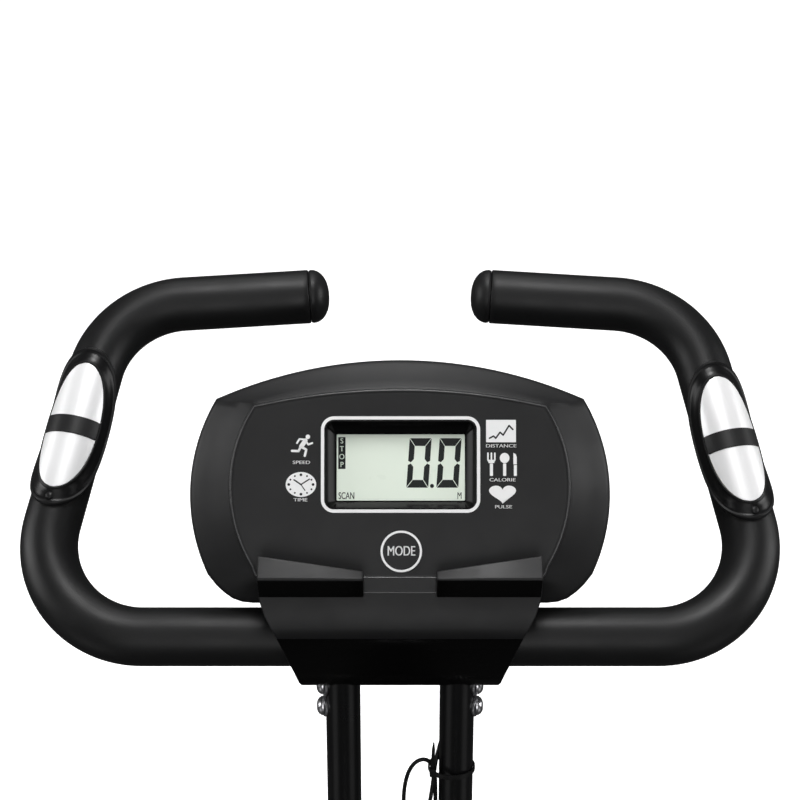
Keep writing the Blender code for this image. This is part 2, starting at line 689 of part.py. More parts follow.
def slab(lower, upper):
    """A closed solid between two grids of points."""
    bm = bmesh.new()
    grids = [[[bm.verts.new(p) for p in row] for row in grid] for grid in (lower, upper)]
    rows, columns = len(lower), len(lower[0])
    for grid in grids:
        for i in range(rows - 1):
            for j in range(columns - 1):
                bm.faces.new((grid[i][j], grid[i][j + 1], grid[i + 1][j + 1], grid[i + 1][j]))
    edge = [(0, j) for j in range(columns)] + [(i, columns - 1) for i in range(1, rows)]
    edge += [(rows - 1, j) for j in range(columns - 2, -1, -1)] + [(i, 0) for i in range(rows - 2, 0, -1)]
    for (i, j), (k, m) in zip(edge, edge[1:] + edge[:1]):
        bm.faces.new((grids[0][i][j], grids[0][k][m], grids[1][k][m], grids[1][i][j]))
    return bm


# ---------------------------------------------------------------- console


def console_outline():
    """The console's outer shape on its face, anticlockwise from the right lower corner."""
    side_r, side_x, side_v = 122.6, 137.9, 50.2
    top_r, top_v = 297.5, 138.2
    corner = (121.0, 112.2)
    side_centre = (side_x - side_r, side_v)
    low = atan2(-56.0, sqrt(side_r**2 - 56.0**2))
    high = atan2(corner[1] - side_v, corner[0] - side_centre[0])
    right = arc(side_centre, side_r, low, high, 9)
    lean = atan2(corner[1] - (top_v - top_r), corner[0])
    top = arc((0, top_v - top_r), top_r, lean, pi - lean, 14)[1:-1]
    left = [(-x, v) for x, v in reversed(right)]
    bend = [(117.0, -13.4), (108.0, -18.8), (95.0, -21.2)]
    return bend[::-1] + right + top + left + [(-x, v) for x, v in bend]


def panel_outline():
    """The raised inner panel, with as many points as the outer shape."""
    side_r, side_x, side_v = 95.2, 107.9, 55.0
    top_r, top_v = 422.0, 116.4
    corner = (92.7, 105.9)
    side_centre = (side_x - side_r, side_v)
    low = atan2(-50.0, sqrt(side_r**2 - 50.0**2))
    high = atan2(corner[1] - side_v, corner[0] - side_centre[0])
    right = arc(side_centre, side_r, low, high, 9)
    lean = atan2(corner[1] - (top_v - top_r), corner[0])
    top = arc((0, top_v - top_r), top_r, lean, pi - lean, 14)[1:-1]
    left = [(-x, v) for x, v in reversed(right)]
    bend = [(92.0, 0.6), (88.0, -1.2), (82.0, -1.8)]
    return bend[::-1] + right + top + left + [(-x, v) for x, v in bend]


def face_ring(outline, n):
    return [on_face(x, v, n) for x, v in outline]


def rectangle(x0, x1, v0, v1, corner=4.0, count=3):
    """A rounded rectangle on the face, anticlockwise."""
    points = []
    for cx, cv, start in ((x1, v0, -90), (x1, v1, 0), (x0, v1, 90), (x0, v0, 180)):
        inward_x = -corner if cx == x1 else corner
        inward_v = corner if cv == v0 else -corner
        centre = (cx + inward_x, cv + inward_v)
        points += arc(centre, corner, radians(start), radians(start + 90), count)
    return points


def make_console():
    outer, panel = console_outline(), panel_outline()
    wall = CONSOLE_WALL
    front_rings = [
        face_ring(outer, CONSOLE_SPLIT_N),
        face_ring(outer, -22),
        face_ring(inset(outer, 4), -15),
        face_ring(inset(panel, -3.5), -2.2),
        face_ring(panel, 0),
    ]
    inner_rings = [
        face_ring(inset(panel, 3), -wall),
        face_ring(inset(panel, -0.5), -2.2 - wall),
        face_ring(inset(outer, 4 + wall), -15 - wall),
        face_ring(inset(outer, wall), -23.5),
        face_ring(inset(outer, wall), CONSOLE_SPLIT_N),
    ]
    front = solid("console_front_cover", shell_of(front_rings, inner_rings), "black_plastic", "rear_frame")
    x0, x1, v0, v1 = WINDOW
    around = rectangle(x0 - 3, x1 + 3, v0 - 3, v1 + 3, 7)
    frame = prism(around, on_face(0, 0, 0), RIGHT, FACE_V, FACE_N, GLASS_N - 1, -1)
    mouth = lofted([face_ring(rectangle(*WINDOW, 6), 0.5), face_ring(rectangle(*GLASS, 1.5), GLASS_N - 2)])
    weld(front, solid("window_frame", frame, None, None))
    button_hole = rod(on_face(*MODE_AT, -12), on_face(*MODE_AT, 6), MODE_R + 0.5, 28)
    cut(front, solid("window_mouth", mouth, None, None), solid("button_hole", button_hole, None, None))

    back_rings = [
        face_ring(outer, CONSOLE_SPLIT_N - GAP),
        face_ring(inset(outer, 1.5), -37),
        face_ring(inset(outer, 9), -48),
        face_ring(inset(outer, 20), CONSOLE_BACK_N),
    ]
    hollow_rings = [
        face_ring(inset(outer, 20 + wall), CONSOLE_BACK_N + wall),
        face_ring(inset(outer, 9 + wall), -48 + wall),
        face_ring(inset(outer, 1.5 + wall), -37 + 1),
        face_ring(inset(outer, wall), CONSOLE_SPLIT_N - GAP),
    ]
    back = solid("console_back_cover", shell_of(back_rings, hollow_rings), "black_plastic", "rear_frame")
    x0, x1, v0, v1 = BATTERY
    opening = rectangle(x0, x1, v0, v1, 3)
    behind, ahead = CONSOLE_BACK_N - 6, CONSOLE_BACK_N + 6
    hatch = prism(opening, on_face(0, 0, 0), RIGHT, FACE_V, FACE_N, behind, ahead)
    cut(back, solid("battery_hatch", hatch, None, None))
    door = prism(
        rectangle(x0 + 0.6, x1 - 0.6, v0 + 0.6, v1 - 0.6, 2.6),
        on_face(0, 0, 0), RIGHT, FACE_V, FACE_N, CONSOLE_BACK_N, CONSOLE_BACK_N + 2,
    )
    solid("battery_door", door, "black_plastic", "battery_door")

    x0, x1, v0, v1 = GLASS
    middle = on_face((x0 + x1) / 2, (v0 + v1) / 2, GLASS_N - 4)
    axes = (RIGHT, FACE_V, FACE_N)
    lcd = block(middle, (x1 - x0 + 6, v1 - v0 + 6, 4), axes)
    solid("lcd_display", lcd, "lcd", "rear_frame")
    board = block(on_face(0, 56, -17), (150, 74, 1.6), axes)
    solid("circuit_board", board, "board_green", "rear_frame")
    x0, x1, v0, v1 = BATTERY
    tray = block(on_face((x0 + x1) / 2, (v0 + v1) / 2, -40), (x1 - x0 - 6, v1 - v0 - 6, 14), axes)
    solid("battery_pack", tray, "steel", "rear_frame")
    profile = [(0, -6.5), (MODE_R + 2.5, -6.5), (MODE_R + 2.5, -4.6), (MODE_R, -4.6), (MODE_R, 0.3)]
    profile += [(MODE_R - 1, 0.9), (0, 1.1)]
    solid("mode_button", turned(profile, on_face(*MODE_AT, 0), FACE_N, 28), "black_plastic", "mode_button")


def shell_of(outer_rings, inner_rings):
    """A cup: the outer rings, a cap, then the inner rings back down, closed at the rim."""
    bm = bmesh.new()
    loops = [[bm.verts.new(p) for p in ring] for ring in outer_rings + inner_rings]
    split = len(outer_rings)
    for k in range(len(loops) - 1):
        if k != split - 1:
            bridge(bm, loops[k], loops[k + 1])
    bm.faces.new(loops[split - 1])
    bm.faces.new(loops[split])
    bridge(bm, loops[-1], loops[0])
    return bm


def make_tablet_holder():
    """The skirt that hides the bar, with two hooked ledges for a phone or tablet."""
    rows = [
        (1.2, -3.4, 90.0, 1.4),
        (12.0, -11.6, 90.0, 9.0),
        (10.8, -27.0, 86.0, 8.0),
        (8.7, -41.0, 81.0, 6.0),
        (-10.0, -58.0, 73.8, 3.2),
        (-28.5, -74.3, 65.0, 6.0),
        (-36.0, -75.8, 62.0, 4.0),
    ]
    thick = 2.4
    outer, inner = [], []
    for k, (n, v, half, depth) in enumerate(rows):
        before, after = rows[max(k - 1, 0)], rows[min(k + 1, len(rows) - 1)]
        tangent = Vector((after[0] - before[0], after[1] - before[1])).normalized()
        into = Vector((-abs(tangent.y), tangent.x if tangent.y < 0 else -tangent.x))
        across = [-half, -half * 0.5, 0, half * 0.5, half]
        n_in, v_in = n + into.x * thick, v + into.y * thick
        if k == 0:
            into = Vector((-1, 0))
            n_in, v_in = n, v - thick * 1.4
        row = [on_face(-half - 0.01, v + into.y * depth, n + into.x * depth)]
        row += [on_face(x, v, n) for x in across]
        row.append(on_face(half + 0.01, v + into.y * depth, n + into.x * depth))
        inside = [on_face(-half + thick, v + into.y * depth, n + into.x * depth)]
        inside += [on_face(x * (half - thick) / half, v_in, n_in) for x in across]
        inside.append(on_face(half - thick, v + into.y * depth, n + into.x * depth))
        outer.append(row)
        inner.append(inside)
    holder = solid("tablet_holder", slab(inner, outer), "black_plastic", "rear_frame")
    for side in (-1, 1):
        sections = []
        for x, lip in ((23.4, 3.3), (89.0, 12.5)):
            section = [(1.4, -4), (20, -3.4), (22, lip), (24.6, lip - 0.6)]
            section += [(25.4, -2), (11.4, -14.6), (6, -12)]
            sections.append([on_face(side * x, v, n) for n, v in section])
        weld(holder, solid("ledge", lofted(sections), None, None))


# ---------------------------------------------------------------- cables


def smooth_route(points, steps):
    """A smooth curve through a few points, with the same number of steps between each two."""
    points = [Vector(p) for p in points]
    line = []
    for k in range(len(points) - 1):
        a, b = points[max(k - 1, 0)], points[k]
        c, d = points[k + 1], points[min(k + 2, len(points) - 1)]
        for i in range(steps):
            t = i / steps
            square, cube = 2 * a - 5 * b + 4 * c - d, 3 * b - a - 3 * c + d
            line.append(0.5 * (2 * b + (c - a) * t + square * t**2 + cube * t**3))
    return line + [points[-1]]


def cable(name, route, radius, on):
    line = smooth_route(route, 2)
    curve = bpy.data.curves.new(name, "CURVE")
    curve.dimensions = "3D"
    curve.bevel_depth = radius * MM
    curve.bevel_resolution = 2
    curve.use_fill_caps = True
    curve.materials.append(material("rubber"))
    spline = curve.splines.new("POLY")
    spline.points.add(len(line) - 1)
    spot = bodies[on][1]
    for point, place in zip(spline.points, line):
        point.co = (*(place * MM - spot), 1)
    piece = bpy.data.objects.new(name, curve)
    bpy.context.scene.collection.objects.link(piece)
    piece.parent = bodies[on][0]


def sensor_cable_route():
    """From the console's back, down the right post, round the tied slack loop and into the post."""
    inner = TUBE_SPACING / 2 - POST_R - CABLE_R - 0.6
    return [
        on_face(25, -4, -56.2),
        on_face(25.5, -12, -66),
        on_post(27, 8, -30),
        on_post(26, 40, -24),
        on_post(inner, 70, -12),
        on_post(inner - 0.4, TIE_BELOW, -2),
        on_post(20.5, 112, 4),
        on_post(14.5, 131, 6),
        on_post(9.5, 146, 6),
        on_post(5.0, 144, 6),
        on_post(3.4, 128, 6),
        on_post(3.2, 112, 6),
        on_post(9.5, 95.5, 5.5),
        on_post(19, 91.5, 3.6),
        on_post(inner - 0.6, 98, 2.6),
        on_post(inner - 0.2, 112, 2.4),
        on_post(inner, 150, 0),
        on_post(inner, 190, 0),
        on_post(inner - 1, 240, -4),
        on_post(22, 290, -16),
        on_post(16, 345, -22),
        on_post(11, 400, -38),
        at(10, (128, 592)),
        at(10, (142, 586.5)),
    ]


def make_cables():
    cable("sensor_cable", sensor_cable_route(), CABLE_R, "rear_frame")
    tie_middle = on_post(TUBE_SPACING / 2 - 2.2, TIE_BELOW + 4, 0.6)
    half_x, half_y = POST_R + 6.4, POST_R + 3.4
    ring = []
    for k in range(20):
        a = 2 * pi * k / 20
        ring.append((half_x * cos(a), half_y * sin(a)))
    outer = prism(ring, tie_middle, RIGHT, POST_BACK, POST_UP, -1.8, 1.8)
    tie = solid("cable_tie", outer, "black_plastic", "rear_frame")
    hole = [(x * (half_x - 1.2) / half_x, y * (half_y - 1.2) / half_y) for x, y in ring]
    inside = prism(hole, tie_middle, RIGHT, POST_BACK, POST_UP, -4, 4)
    cut(tie, solid("tie_inside", inside, None, None))
    route = [
        on_post(0, KNOB_BELOW + 2, -17.5),
        on_post(0, KNOB_BELOW + 26, -26),
        on_post(0, KNOB_BELOW + 70, -34),
        at(0, (110, 586)),
        at(0, (135, 579)),
        at(0, (147, 571)),
    ]
    cable("tension_cable", route, TENSION_CABLE_R, "main_frame")


# ---------------------------------------------------------------- drive


def make_housing():
    outline = capsule(CRANK, HOUSING_CRANK_R, FLYWHEEL, HOUSING_FLYWHEEL_R, 14)
    for side, name in ((-1, "left"), (1, "right")):

        def ring(by, x):
            return [at(side * x, p) for p in inset(outline, by)]

        outer = [ring(0, 0.2), ring(0, 28), ring(3, 35), ring(12, HOUSING_X)]
        wall = HOUSING_WALL
        inner = [ring(12 + wall, HOUSING_X - wall), ring(3 + wall, 33), ring(wall, 27), ring(wall, 0.2)]
        shell = solid("housing_" + name, shell_of(outer, inner), "gloss_plastic", "main_frame")
        start, end = at(0, on_main(60)), at(0, on_main(480))
        cut(
            shell,
            solid("tube_slot", rod(start, end, MAIN_R + 1.2, 24), None, None),
            solid("crank_slot", rod(at(-60, CRANK), at(60, CRANK), 16, 24), None, None),
            solid("cable_slot", rod(at(0, (135, 592)), at(0, (162, 545)), 4.5, 12), None, None),
        )


def crank_tip(side):
    """The centre of a crank arm's outer end in side view."""
    angle = CRANK_ANGLE if side > 0 else CRANK_ANGLE + pi
    return (CRANK[0] + CRANK_LENGTH * cos(angle), CRANK[1] + CRANK_LENGTH * sin(angle))


def make_crank():
    axle = turned([(0, -62), (CRANK_AXLE_R, -62), (CRANK_AXLE_R, 62), (0, 62)], at(0, CRANK), RIGHT, 20)
    solid("crank_axle", axle, "steel", "crank")
    for side, name in ((-1, "left"), (1, "right")):
        outer, inner = 15.0, CRANK_AXLE_R + GAP
        low = 22.2 if side > 0 else 24.5
        cup = pipe(at(side * (low - 10.5), CRANK), at(side * low, CRANK), outer - 0.2, inner, 16)
        solid("crank_bearing_" + name, cup, "steel", "main_frame")
    hub = CRANK_AXLE_R + GAP
    web = [(hub, -6), (24, -6), (26, -2.5), (CRANK_PULLEY_R - 8, -2.5), (CRANK_PULLEY_R - 6, -5)]
    web += [(CRANK_PULLEY_R, -5), (CRANK_PULLEY_R, 5), (CRANK_PULLEY_R - 6, 5)]
    web += [(CRANK_PULLEY_R - 8, 2.5), (26, 2.5), (24, 6), (hub, 6)]
    pulley = turned(web, at(BELT_X, CRANK), RIGHT, 26, True)
    solid("crank_pulley", pulley, "black_plastic", "crank")
    for side, name in ((-1, "left"), (1, "right")):
        tip = crank_tip(side)
        low, high = sorted((side * 44.0, side * 56.0))
        outline = capsule(CRANK, 16, tip, 12, 8)
        arm = solid("crank_arm_" + name, side_prism(outline, low, high), "black_paint", "crank")
        spindle_hole = rod(at(side * 30, tip), at(side * 90, tip), SPINDLE_R + GAP, 16)
        cut(
            arm,
            solid("axle_bore", rod(at(-90, CRANK), at(90, CRANK), hub, 20), None, None),
            solid("spindle_bore", spindle_hole, None, None),
        )
        start = at(side * 42.5, tip)
        profile = [(SPINDLE_R, 0), (SPINDLE_R, 14.5), (9, 14.5), (9, 18.5), (6, 18.5), (5, 122), (0, 122.5)]
        spindle = turned([(0, 0)] + profile, start, side * RIGHT, 16)
        solid("pedal_spindle_" + name, spindle, "steel", "crank")
        make_pedal(side, name, tip)


def make_pedal(side, name, tip):
    """A weighted platform pedal with a rubber strap over the foot."""
    on = "pedal_" + name
    middle = at(side * PEDAL_X, tip)
    tray = block(middle + Vector((0, 0, -3)), (96, 104, 24))
    pedal = solid(on, tray, "black_plastic", on)
    soften(pedal, 5, 2)
    for offset in (-32, 32):
        window = block(middle + Vector((0, offset, 14)), (64, 18, 34))
        cut(pedal, solid("pedal_window", window, None, None))
    keel = block(middle + Vector((0, 0, -21)), (60, 34, 16))
    weld(pedal, solid("pedal_weight", keel, None, None))
    cut(pedal, solid("pedal_bore", rod(at(side * 50, tip), at(side * 180, tip), SPINDLE_R, 16), None, None))
    toe = middle + Vector((0, STRAP_AHEAD, 0))
    corners = [(-50.6, -10), (-50.6, 58), (50.6, 58), (50.6, -10)]
    arch = rounded_path([toe + Vector((x, 0, z)) for x, z in corners], [34, 34], radians(16))
    band = []
    for k, point in enumerate(arch):
        before, after = arch[max(k - 1, 0)], arch[min(k + 1, len(arch) - 1)]
        tangent = (after - before).normalized()
        out = Vector((-tangent.z, 0, tangent.x))
        section = ((-1.2, -12), (1.2, -12), (1.2, 12), (-1.2, 12))
        band.append([point + out * a + Vector((0, b, 0)) for a, b in section])
    solid("pedal_strap_" + name, lofted(band), "rubber", on)


def make_flywheel():
    hub = 6.0 + GAP
    rim = [(hub, -14), (20, -14), (20, -5), (FLYWHEEL_R - 22, -5), (FLYWHEEL_R - 18, -FLYWHEEL_HALF)]
    rim += [(FLYWHEEL_R, -FLYWHEEL_HALF), (FLYWHEEL_R, FLYWHEEL_HALF), (FLYWHEEL_R - 18, FLYWHEEL_HALF)]
    rim += [(FLYWHEEL_R - 22, 5), (20, 5), (20, 14), (hub, 14)]
    solid("flywheel", turned(rim, at(0, FLYWHEEL), RIGHT, 26, True), "cast_iron", "flywheel")
    r = FLYWHEEL_PULLEY_R
    groove = [(hub, 21.6), (r + 3, 21.6), (r + 3, 23.4), (r, 24.2)]
    groove += [(r, 33.8), (r + 3, 34.4), (r + 3, 35.4), (hub, 35.4)]
    solid("flywheel_pulley", turned(groove, at(0, FLYWHEEL), RIGHT, 18, True), "steel", "flywheel")
    axle = turned([(0, -36), (6, -36), (6, 36.4), (0, 36.4)], at(0, FLYWHEEL), RIGHT, 16)
    solid("flywheel_axle", axle, "steel", "main_frame")
    outline = capsule(CRANK, CRANK_PULLEY_R + 0.7, FLYWHEEL, FLYWHEEL_PULLEY_R + 0.7, 20)
    outer = inset(outline, -BELT_THICK)
    low, high = BELT_X - BELT_WIDTH / 2, BELT_X + BELT_WIDTH / 2
    edges = ((low, outline), (low, outer), (high, outer), (high, outline))
    rings = [[at(x, p) for p in line] for x, line in edges]
    solid("drive_belt", lofted(rings, closed=True), "rubber", "main_frame")


def make_magnet_arm():
    """A curved arm that swings its magnets towards the flywheel's rim."""
    inner = arc(FLYWHEEL, MAGNET_PIVOT_R - 7, radians(112), radians(52), 10)
    outer = arc(FLYWHEEL, MAGNET_PIVOT_R - 0.5, radians(52), radians(112), 10)
    arm = solid("magnet_arm", side_prism(inner + outer, -FLYWHEEL_HALF, FLYWHEEL_HALF), "steel", "magnet_arm")
    boss = rod(at(-FLYWHEEL_HALF - 2, MAGNET_PIVOT), at(FLYWHEEL_HALF + 2, MAGNET_PIVOT), 6.5, 16)
    weld(arm, solid("magnet_boss", boss, None, None))
    cut(arm, solid("magnet_bore", rod(at(-30, MAGNET_PIVOT), at(30, MAGNET_PIVOT), 3 + GAP, 12), None, None))


# ---------------------------------------------------------------- seat


def make_seat():
    low, high = at(0, on_main(SEAT_POST_FROM)), at(0, on_main(SEAT_TOP_AT))
    post = solid("seat_post", rod(low, high, SEAT_POST_R, 24), "chrome", "seat")
    plate = block(Vector((0, SEAT_CENTRE_Y + 22, SEAT_BASE_Z - 3.4)), (90, 110, 5))
    weld(post, solid("seat_plate", plate, None, None))
    trim = block(Vector((0, SEAT_CENTRE_Y, SEAT_BASE_Z + 24.5)), (200, 300, 50))
    bore = rod(at(0, on_main(SEAT_POST_FROM - 10)), at(0, on_main(SEAT_TOP_AT - 28)), SEAT_POST_R - 1.8, 24)
    cut(post, solid("above_plate", trim, None, None), solid("post_bore", bore, None, None))
    low, high = at(0, on_main(MAIN_LENGTH + GAP)), at(0, on_main(MAIN_LENGTH + 14))
    collar = pipe(low, high, MAIN_R + 5, SEAT_POST_R + 0.4, 24)
    solid("seat_sleeve", collar, "black_plastic", "main_frame")
    base = seat_ring(0.90)
    rings = [
        [Vector((x * 0.94, y * 0.94 + SEAT_CENTRE_Y * 0.06, SEAT_BASE_Z)) for x, y in base],
        [Vector((x, y, SEAT_BASE_Z + 5)) for x, y in base],
        [Vector((x, y, SEAT_BASE_Z + 14)) for x, y in base],
    ]
    solid("seat_base", lofted(rings), "black_plastic", "seat")
    cushion = []
    for share, height in ((0.91, 14 + GAP), (1.0, 26), (1.0, 42), (0.94, 56), (0.80, 64)):
        outline = seat_ring(share)
        cushion.append([Vector((x, y, SEAT_BASE_Z + height)) for x, y in outline])
    solid("seat_cushion", lofted(cushion), "seat_vinyl", "seat")
    profile = [(0, 20), (LOCK_PIN_R, 20), (LOCK_PIN_R, 40), (10, 40), (16, 46), (18, 60), (16, 72), (0, 75)]
    solid("seat_pin", turned(profile, at(0, BOSS_AT), -MAIN_FRONT, 20), "black_plastic", "seat_pin")


def seat_ring(share):
    """The seat seen from above: broad at the back and narrower at the nose."""
    points = []
    count = 32
    for k in range(count):
        a = 2 * pi * k / count
        forward = cos(a)
        half = 132 - 44 * (forward + 1) / 2 * (0.35 + 0.65 * max(0, forward))
        points.append((share * half * sin(a), SEAT_CENTRE_Y + share * 126 * forward))
    return points


# ---------------------------------------------------------------- assembly


def main():
    clear_scene()
    body("main_frame", (0, 0, 0))
    body("rear_frame", at(0, PIVOT), "main_frame")
    body("crank", at(0, CRANK), "main_frame")
    for side, name in ((-1, "left"), (1, "right")):
        tip = crank_tip(side)
        body("pedal_" + name, at(side * PEDAL_X, tip), "crank")
        body("wheel_" + name, at(side * (FOOT_HALF + WHEEL_OUT), WHEEL), "main_frame")
    body("flywheel", at(0, FLYWHEEL), "main_frame")
    body("magnet_arm", at(0, MAGNET_PIVOT), "main_frame")
    body("seat", at(0, on_main(MAIN_LENGTH)), "main_frame")
    body("seat_pin", at(0, BOSS_AT), "main_frame")
    body("fold_lock_pin", on_rear(LOCK_AT, 60), "rear_frame")
    body("tension_knob", on_post(0, KNOB_BELOW), "rear_frame")
    body("mode_button", on_face(*MODE_AT, 0), "rear_frame")
    body("battery_door", on_face(0, 79, -53), "rear_frame")

    make_main_frame()
    make_foot("front", FRONT_FOOT, "main_frame")
    make_foot("rear", REAR_FOOT, "rear_frame")
    make_rear_frame()
    make_pivot_bolt()
    make_post()
    make_tension_knob()
    make_lock_pin()
    make_handlebar()
    make_sensors()
    make_console()
    make_tablet_holder()
    make_cables()
    make_housing()
    make_crank()
    make_flywheel()
    make_magnet_arm()
    make_seat()


main()
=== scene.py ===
"""The looks of a folding upright exercise bike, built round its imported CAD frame.

Sizes are in millimetres and MM turns them into metres. The rider faces +Y, +X is to the rider's right
and +Z is up. The places of the pieces repeat the ones the CAD model was made from.
"""

import json
from math import acos, atan2, ceil, cos, pi, radians, sin, sqrt, tan

import bmesh
import bpy
from mathutils import Matrix, Vector


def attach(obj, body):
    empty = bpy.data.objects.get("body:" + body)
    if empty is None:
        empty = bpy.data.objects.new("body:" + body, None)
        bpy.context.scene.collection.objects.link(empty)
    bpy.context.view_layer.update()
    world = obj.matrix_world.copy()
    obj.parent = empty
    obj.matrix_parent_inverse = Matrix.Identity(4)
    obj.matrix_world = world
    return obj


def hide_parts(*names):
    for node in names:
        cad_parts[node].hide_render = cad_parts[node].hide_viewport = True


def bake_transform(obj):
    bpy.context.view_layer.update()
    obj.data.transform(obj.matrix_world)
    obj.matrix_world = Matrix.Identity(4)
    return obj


MM = 0.001

# Frame, in side view (y, z)
FRONT_FOOT = (285.0, 32.8)
REAR_FOOT = (-380.0, 32.8)
FOOT_R = 25.0
FOOT_HALF = 165.0
CAP_R = 34.0
WHEEL = (311.0, 32.0)
WHEEL_R = 16.0
WHEEL_OUT = 17.0
MAIN_LEAN = radians(36.0)
MAIN_START = (285.0, 45.0)
MAIN_R = 22.0
MAIN_BORE_R = 19.6
MAIN_LENGTH = 760.0
PIVOT_AT = 520.0
BOSS_BELOW_TOP = 36.0
LOCK_AT = 42.0
BEND = (42.0, 540.0)
REAR_START = (REAR_FOOT[0], REAR_FOOT[1] + 11.0)
REAR_BEND_R = 150.0
REAR_TUBE_R = 14.0
SOCKET_LENGTH = 95.0
KNOB_BELOW = 330.0
SKIN = 0.25  # how far a smooth skin stands outside the CAD tube that it covers
POST_LEAN = radians(17.0)
POST_HALF_SPACING = 38.0
POST_R = 11.6
CRANK = (121.0, 333.5)
CRANK_LENGTH = 110.0
CRANK_ANGLE = radians(-38.0)
CRANK_AXLE_R = 7.4
SPINDLE_R = 6.5
PEDAL_X = 114.0
STRAP_AHEAD = 24.0
FLYWHEEL = (200.0, 470.0)
HOUSING_CRANK_R = 98.0
HOUSING_FLYWHEEL_R = 116.0
SEAT_POST_R = 19.0
SEAT_TOP_AT = 886.0
SEAT_CENTRE_Y = -272.0
SEAT_BASE_Z = 768.0
SEAT_HALF_LONG = 126.0

# Cables
CABLE_R = 1.4
TENSION_CABLE_R = 2.4
TIE_BELOW = 96.0

# Handlebar, in the plane of its loop
BAR = (175.0, 975.0)
BAR_R = 12.7
LOOP_RISE = radians(28.75)
FOAM_R = 19.25
FOAM_BORE_R = 13.4
LOOP_LOW_CORNER = (250.0, 0.6)
LOOP_HIGH_CORNER = (205.4, 241.8)
LOOP_END = (65.1, 251.2)
LOW_CORNER_R = 67.0
HIGH_CORNER_R = 65.0
FOAM_INNER_END = 70.0

# Pulse sensors, wrapped on the straight slanted part of each grip
SENSOR_AT = {-1: 144.8, 1: 134.4}  # left and right, up the slanted part from the loop's lower corner
SENSOR_HALF = 59.0
SENSOR_SPREAD = radians(92.0)
SENSOR_TURN = radians(3.0)
SENSOR_BED_R = 20.7
PLATE_HALF = 46.0
PLATE_SPREAD = radians(53.0)
STRIP_HALF = 6.5

# Console, in its own frame: x to the side, v up the face, n out towards the rider
CONSOLE_RISE = radians(40.0)
CONSOLE_ORIGIN = (6.0, 53.0)
SPLIT_N = -27.0
WINDOW = (-50.8, 51.5, 38.6, 100.5)
WINDOW_LINE = 2.1
GLASS = (-41.0, 42.0, 46.1, 89.0)
GLASS_N = -7.0
MODE_AT = (0.8, 13.9)
MODE_R = 12.6
MODE_RIM_R = MODE_R + 0.75
MODE_HOLE_R = MODE_R + 1.05
PRINT_HIGH = 0.14  # how far the ink stands out
PRINT_N = -0.1  # the depth at which ink starts on the panel

CAMERA_AT = (0.0, -558.5, 1746.5)
CAMERA_TILT = radians(52.0)
LENS = 72.0

# Studio, in metres and watts: name, place, side of the softbox, power
LIGHT_AIM = (0.0, 0.2, 1.0)
LIGHTS = (
    ("overhead", (0.0, 0.6, 3.2), 0.6, 28.0),
    ("ahead", (0.0, 1.3, 2.6), 1.4, 10.5),
    ("left", (-2.0, 0.2, 1.6), 1.2, 19.5),
    ("right", (2.0, 0.2, 1.6), 1.2, 19.5),
    ("behind", (0.0, -2.0, 1.9), 1.2, 12.0),
    ("near", (0.0, -0.9, 2.6), 1.2, 5.0),
    ("low_left", (-1.2, -0.9, 0.4), 0.8, 1.2),
    ("low_right", (1.2, -0.9, 0.4), 0.8, 1.2),
)
WORLD_GLOW = 0.05
FLOOR_HALF = 9000.0
BACKDROP_BEND_R = 6000.0
BACKDROP_TOP = 16000.0
FLOOR_GLOW = 0.9

# The look that a CAD node which stays in view takes, by its material slot
NODE_LOOKS = {
    "black_paint": "paint_black",
    "black_plastic": "cap_black",
    "gloss_plastic": "gloss_black",
    "foam": "foam",
    "steel": "zinc",
    "cast_iron": "iron",
    "chrome": "chrome",
    "rubber": "rubber_black",
    "seat_vinyl": "vinyl",
    "lcd": "lcd",
    "board_green": "board_green",
    "sensor_steel": "plate_steel",
}


# ---------------------------------------------------------------- places and frames


def at(x, side):
    return Vector((x, side[0], side[1]))


def side_point(origin, along, lean):
    return (origin[0] + along * sin(lean), origin[1] + along * cos(lean))


def on_main(along):
    return side_point(MAIN_START, along, -MAIN_LEAN)


RIGHT = Vector((1, 0, 0))
MAIN_UP = Vector((0, -sin(MAIN_LEAN), cos(MAIN_LEAN)))
MAIN_FRONT = Vector((0, cos(MAIN_LEAN), sin(MAIN_LEAN)))
REAR_UP = Vector((0, BEND[0] - REAR_START[0], BEND[1] - REAR_START[1])).normalized()
REAR_TOP = side_point(BEND, SOCKET_LENGTH, POST_LEAN)
BOSS_AT = on_main(MAIN_LENGTH - BOSS_BELOW_TOP)
POST_UP = Vector((0, sin(POST_LEAN), cos(POST_LEAN)))
POST_BACK = Vector((0, -cos(POST_LEAN), sin(POST_LEAN)))
LOOP_UP = Vector((0, cos(LOOP_RISE), sin(LOOP_RISE)))
LOOP_FACE = Vector((0, -sin(LOOP_RISE), cos(LOOP_RISE)))
FACE_N = Vector((0, -cos(CONSOLE_RISE), sin(CONSOLE_RISE)))
FACE_V = Vector((0, sin(CONSOLE_RISE), cos(CONSOLE_RISE)))
FACE_ORIGIN = Vector((0, BAR[0] + CONSOLE_ORIGIN[0], BAR[1] + CONSOLE_ORIGIN[1]))
FACE_AXES = (RIGHT, FACE_V, FACE_N)
PIVOT = on_main(PIVOT_AT)
HIGH_BRACE = at(0, side_point(BEND, 30, POST_LEAN))


def on_rear(above_pivot, x):
    return at(x, PIVOT) + above_pivot * REAR_UP


def on_loop(x, w):
    return at(x, BAR) + w * LOOP_UP


def on_face(x, v, n):
    return FACE_ORIGIN + x * RIGHT + v * FACE_V + n * FACE_N


def on_post(x, below, back=0.0):
    return at(x, BAR) - below * POST_UP + back * POST_BACK


# ---------------------------------------------------------------- shapes


def frame_of(axis):
    axis = Vector(axis).normalized()
    start = RIGHT if abs(axis.x) < 0.9 else Vector((0, 0, 1))
    first = (start - axis * start.dot(axis)).normalized()
    return first, axis.cross(first)


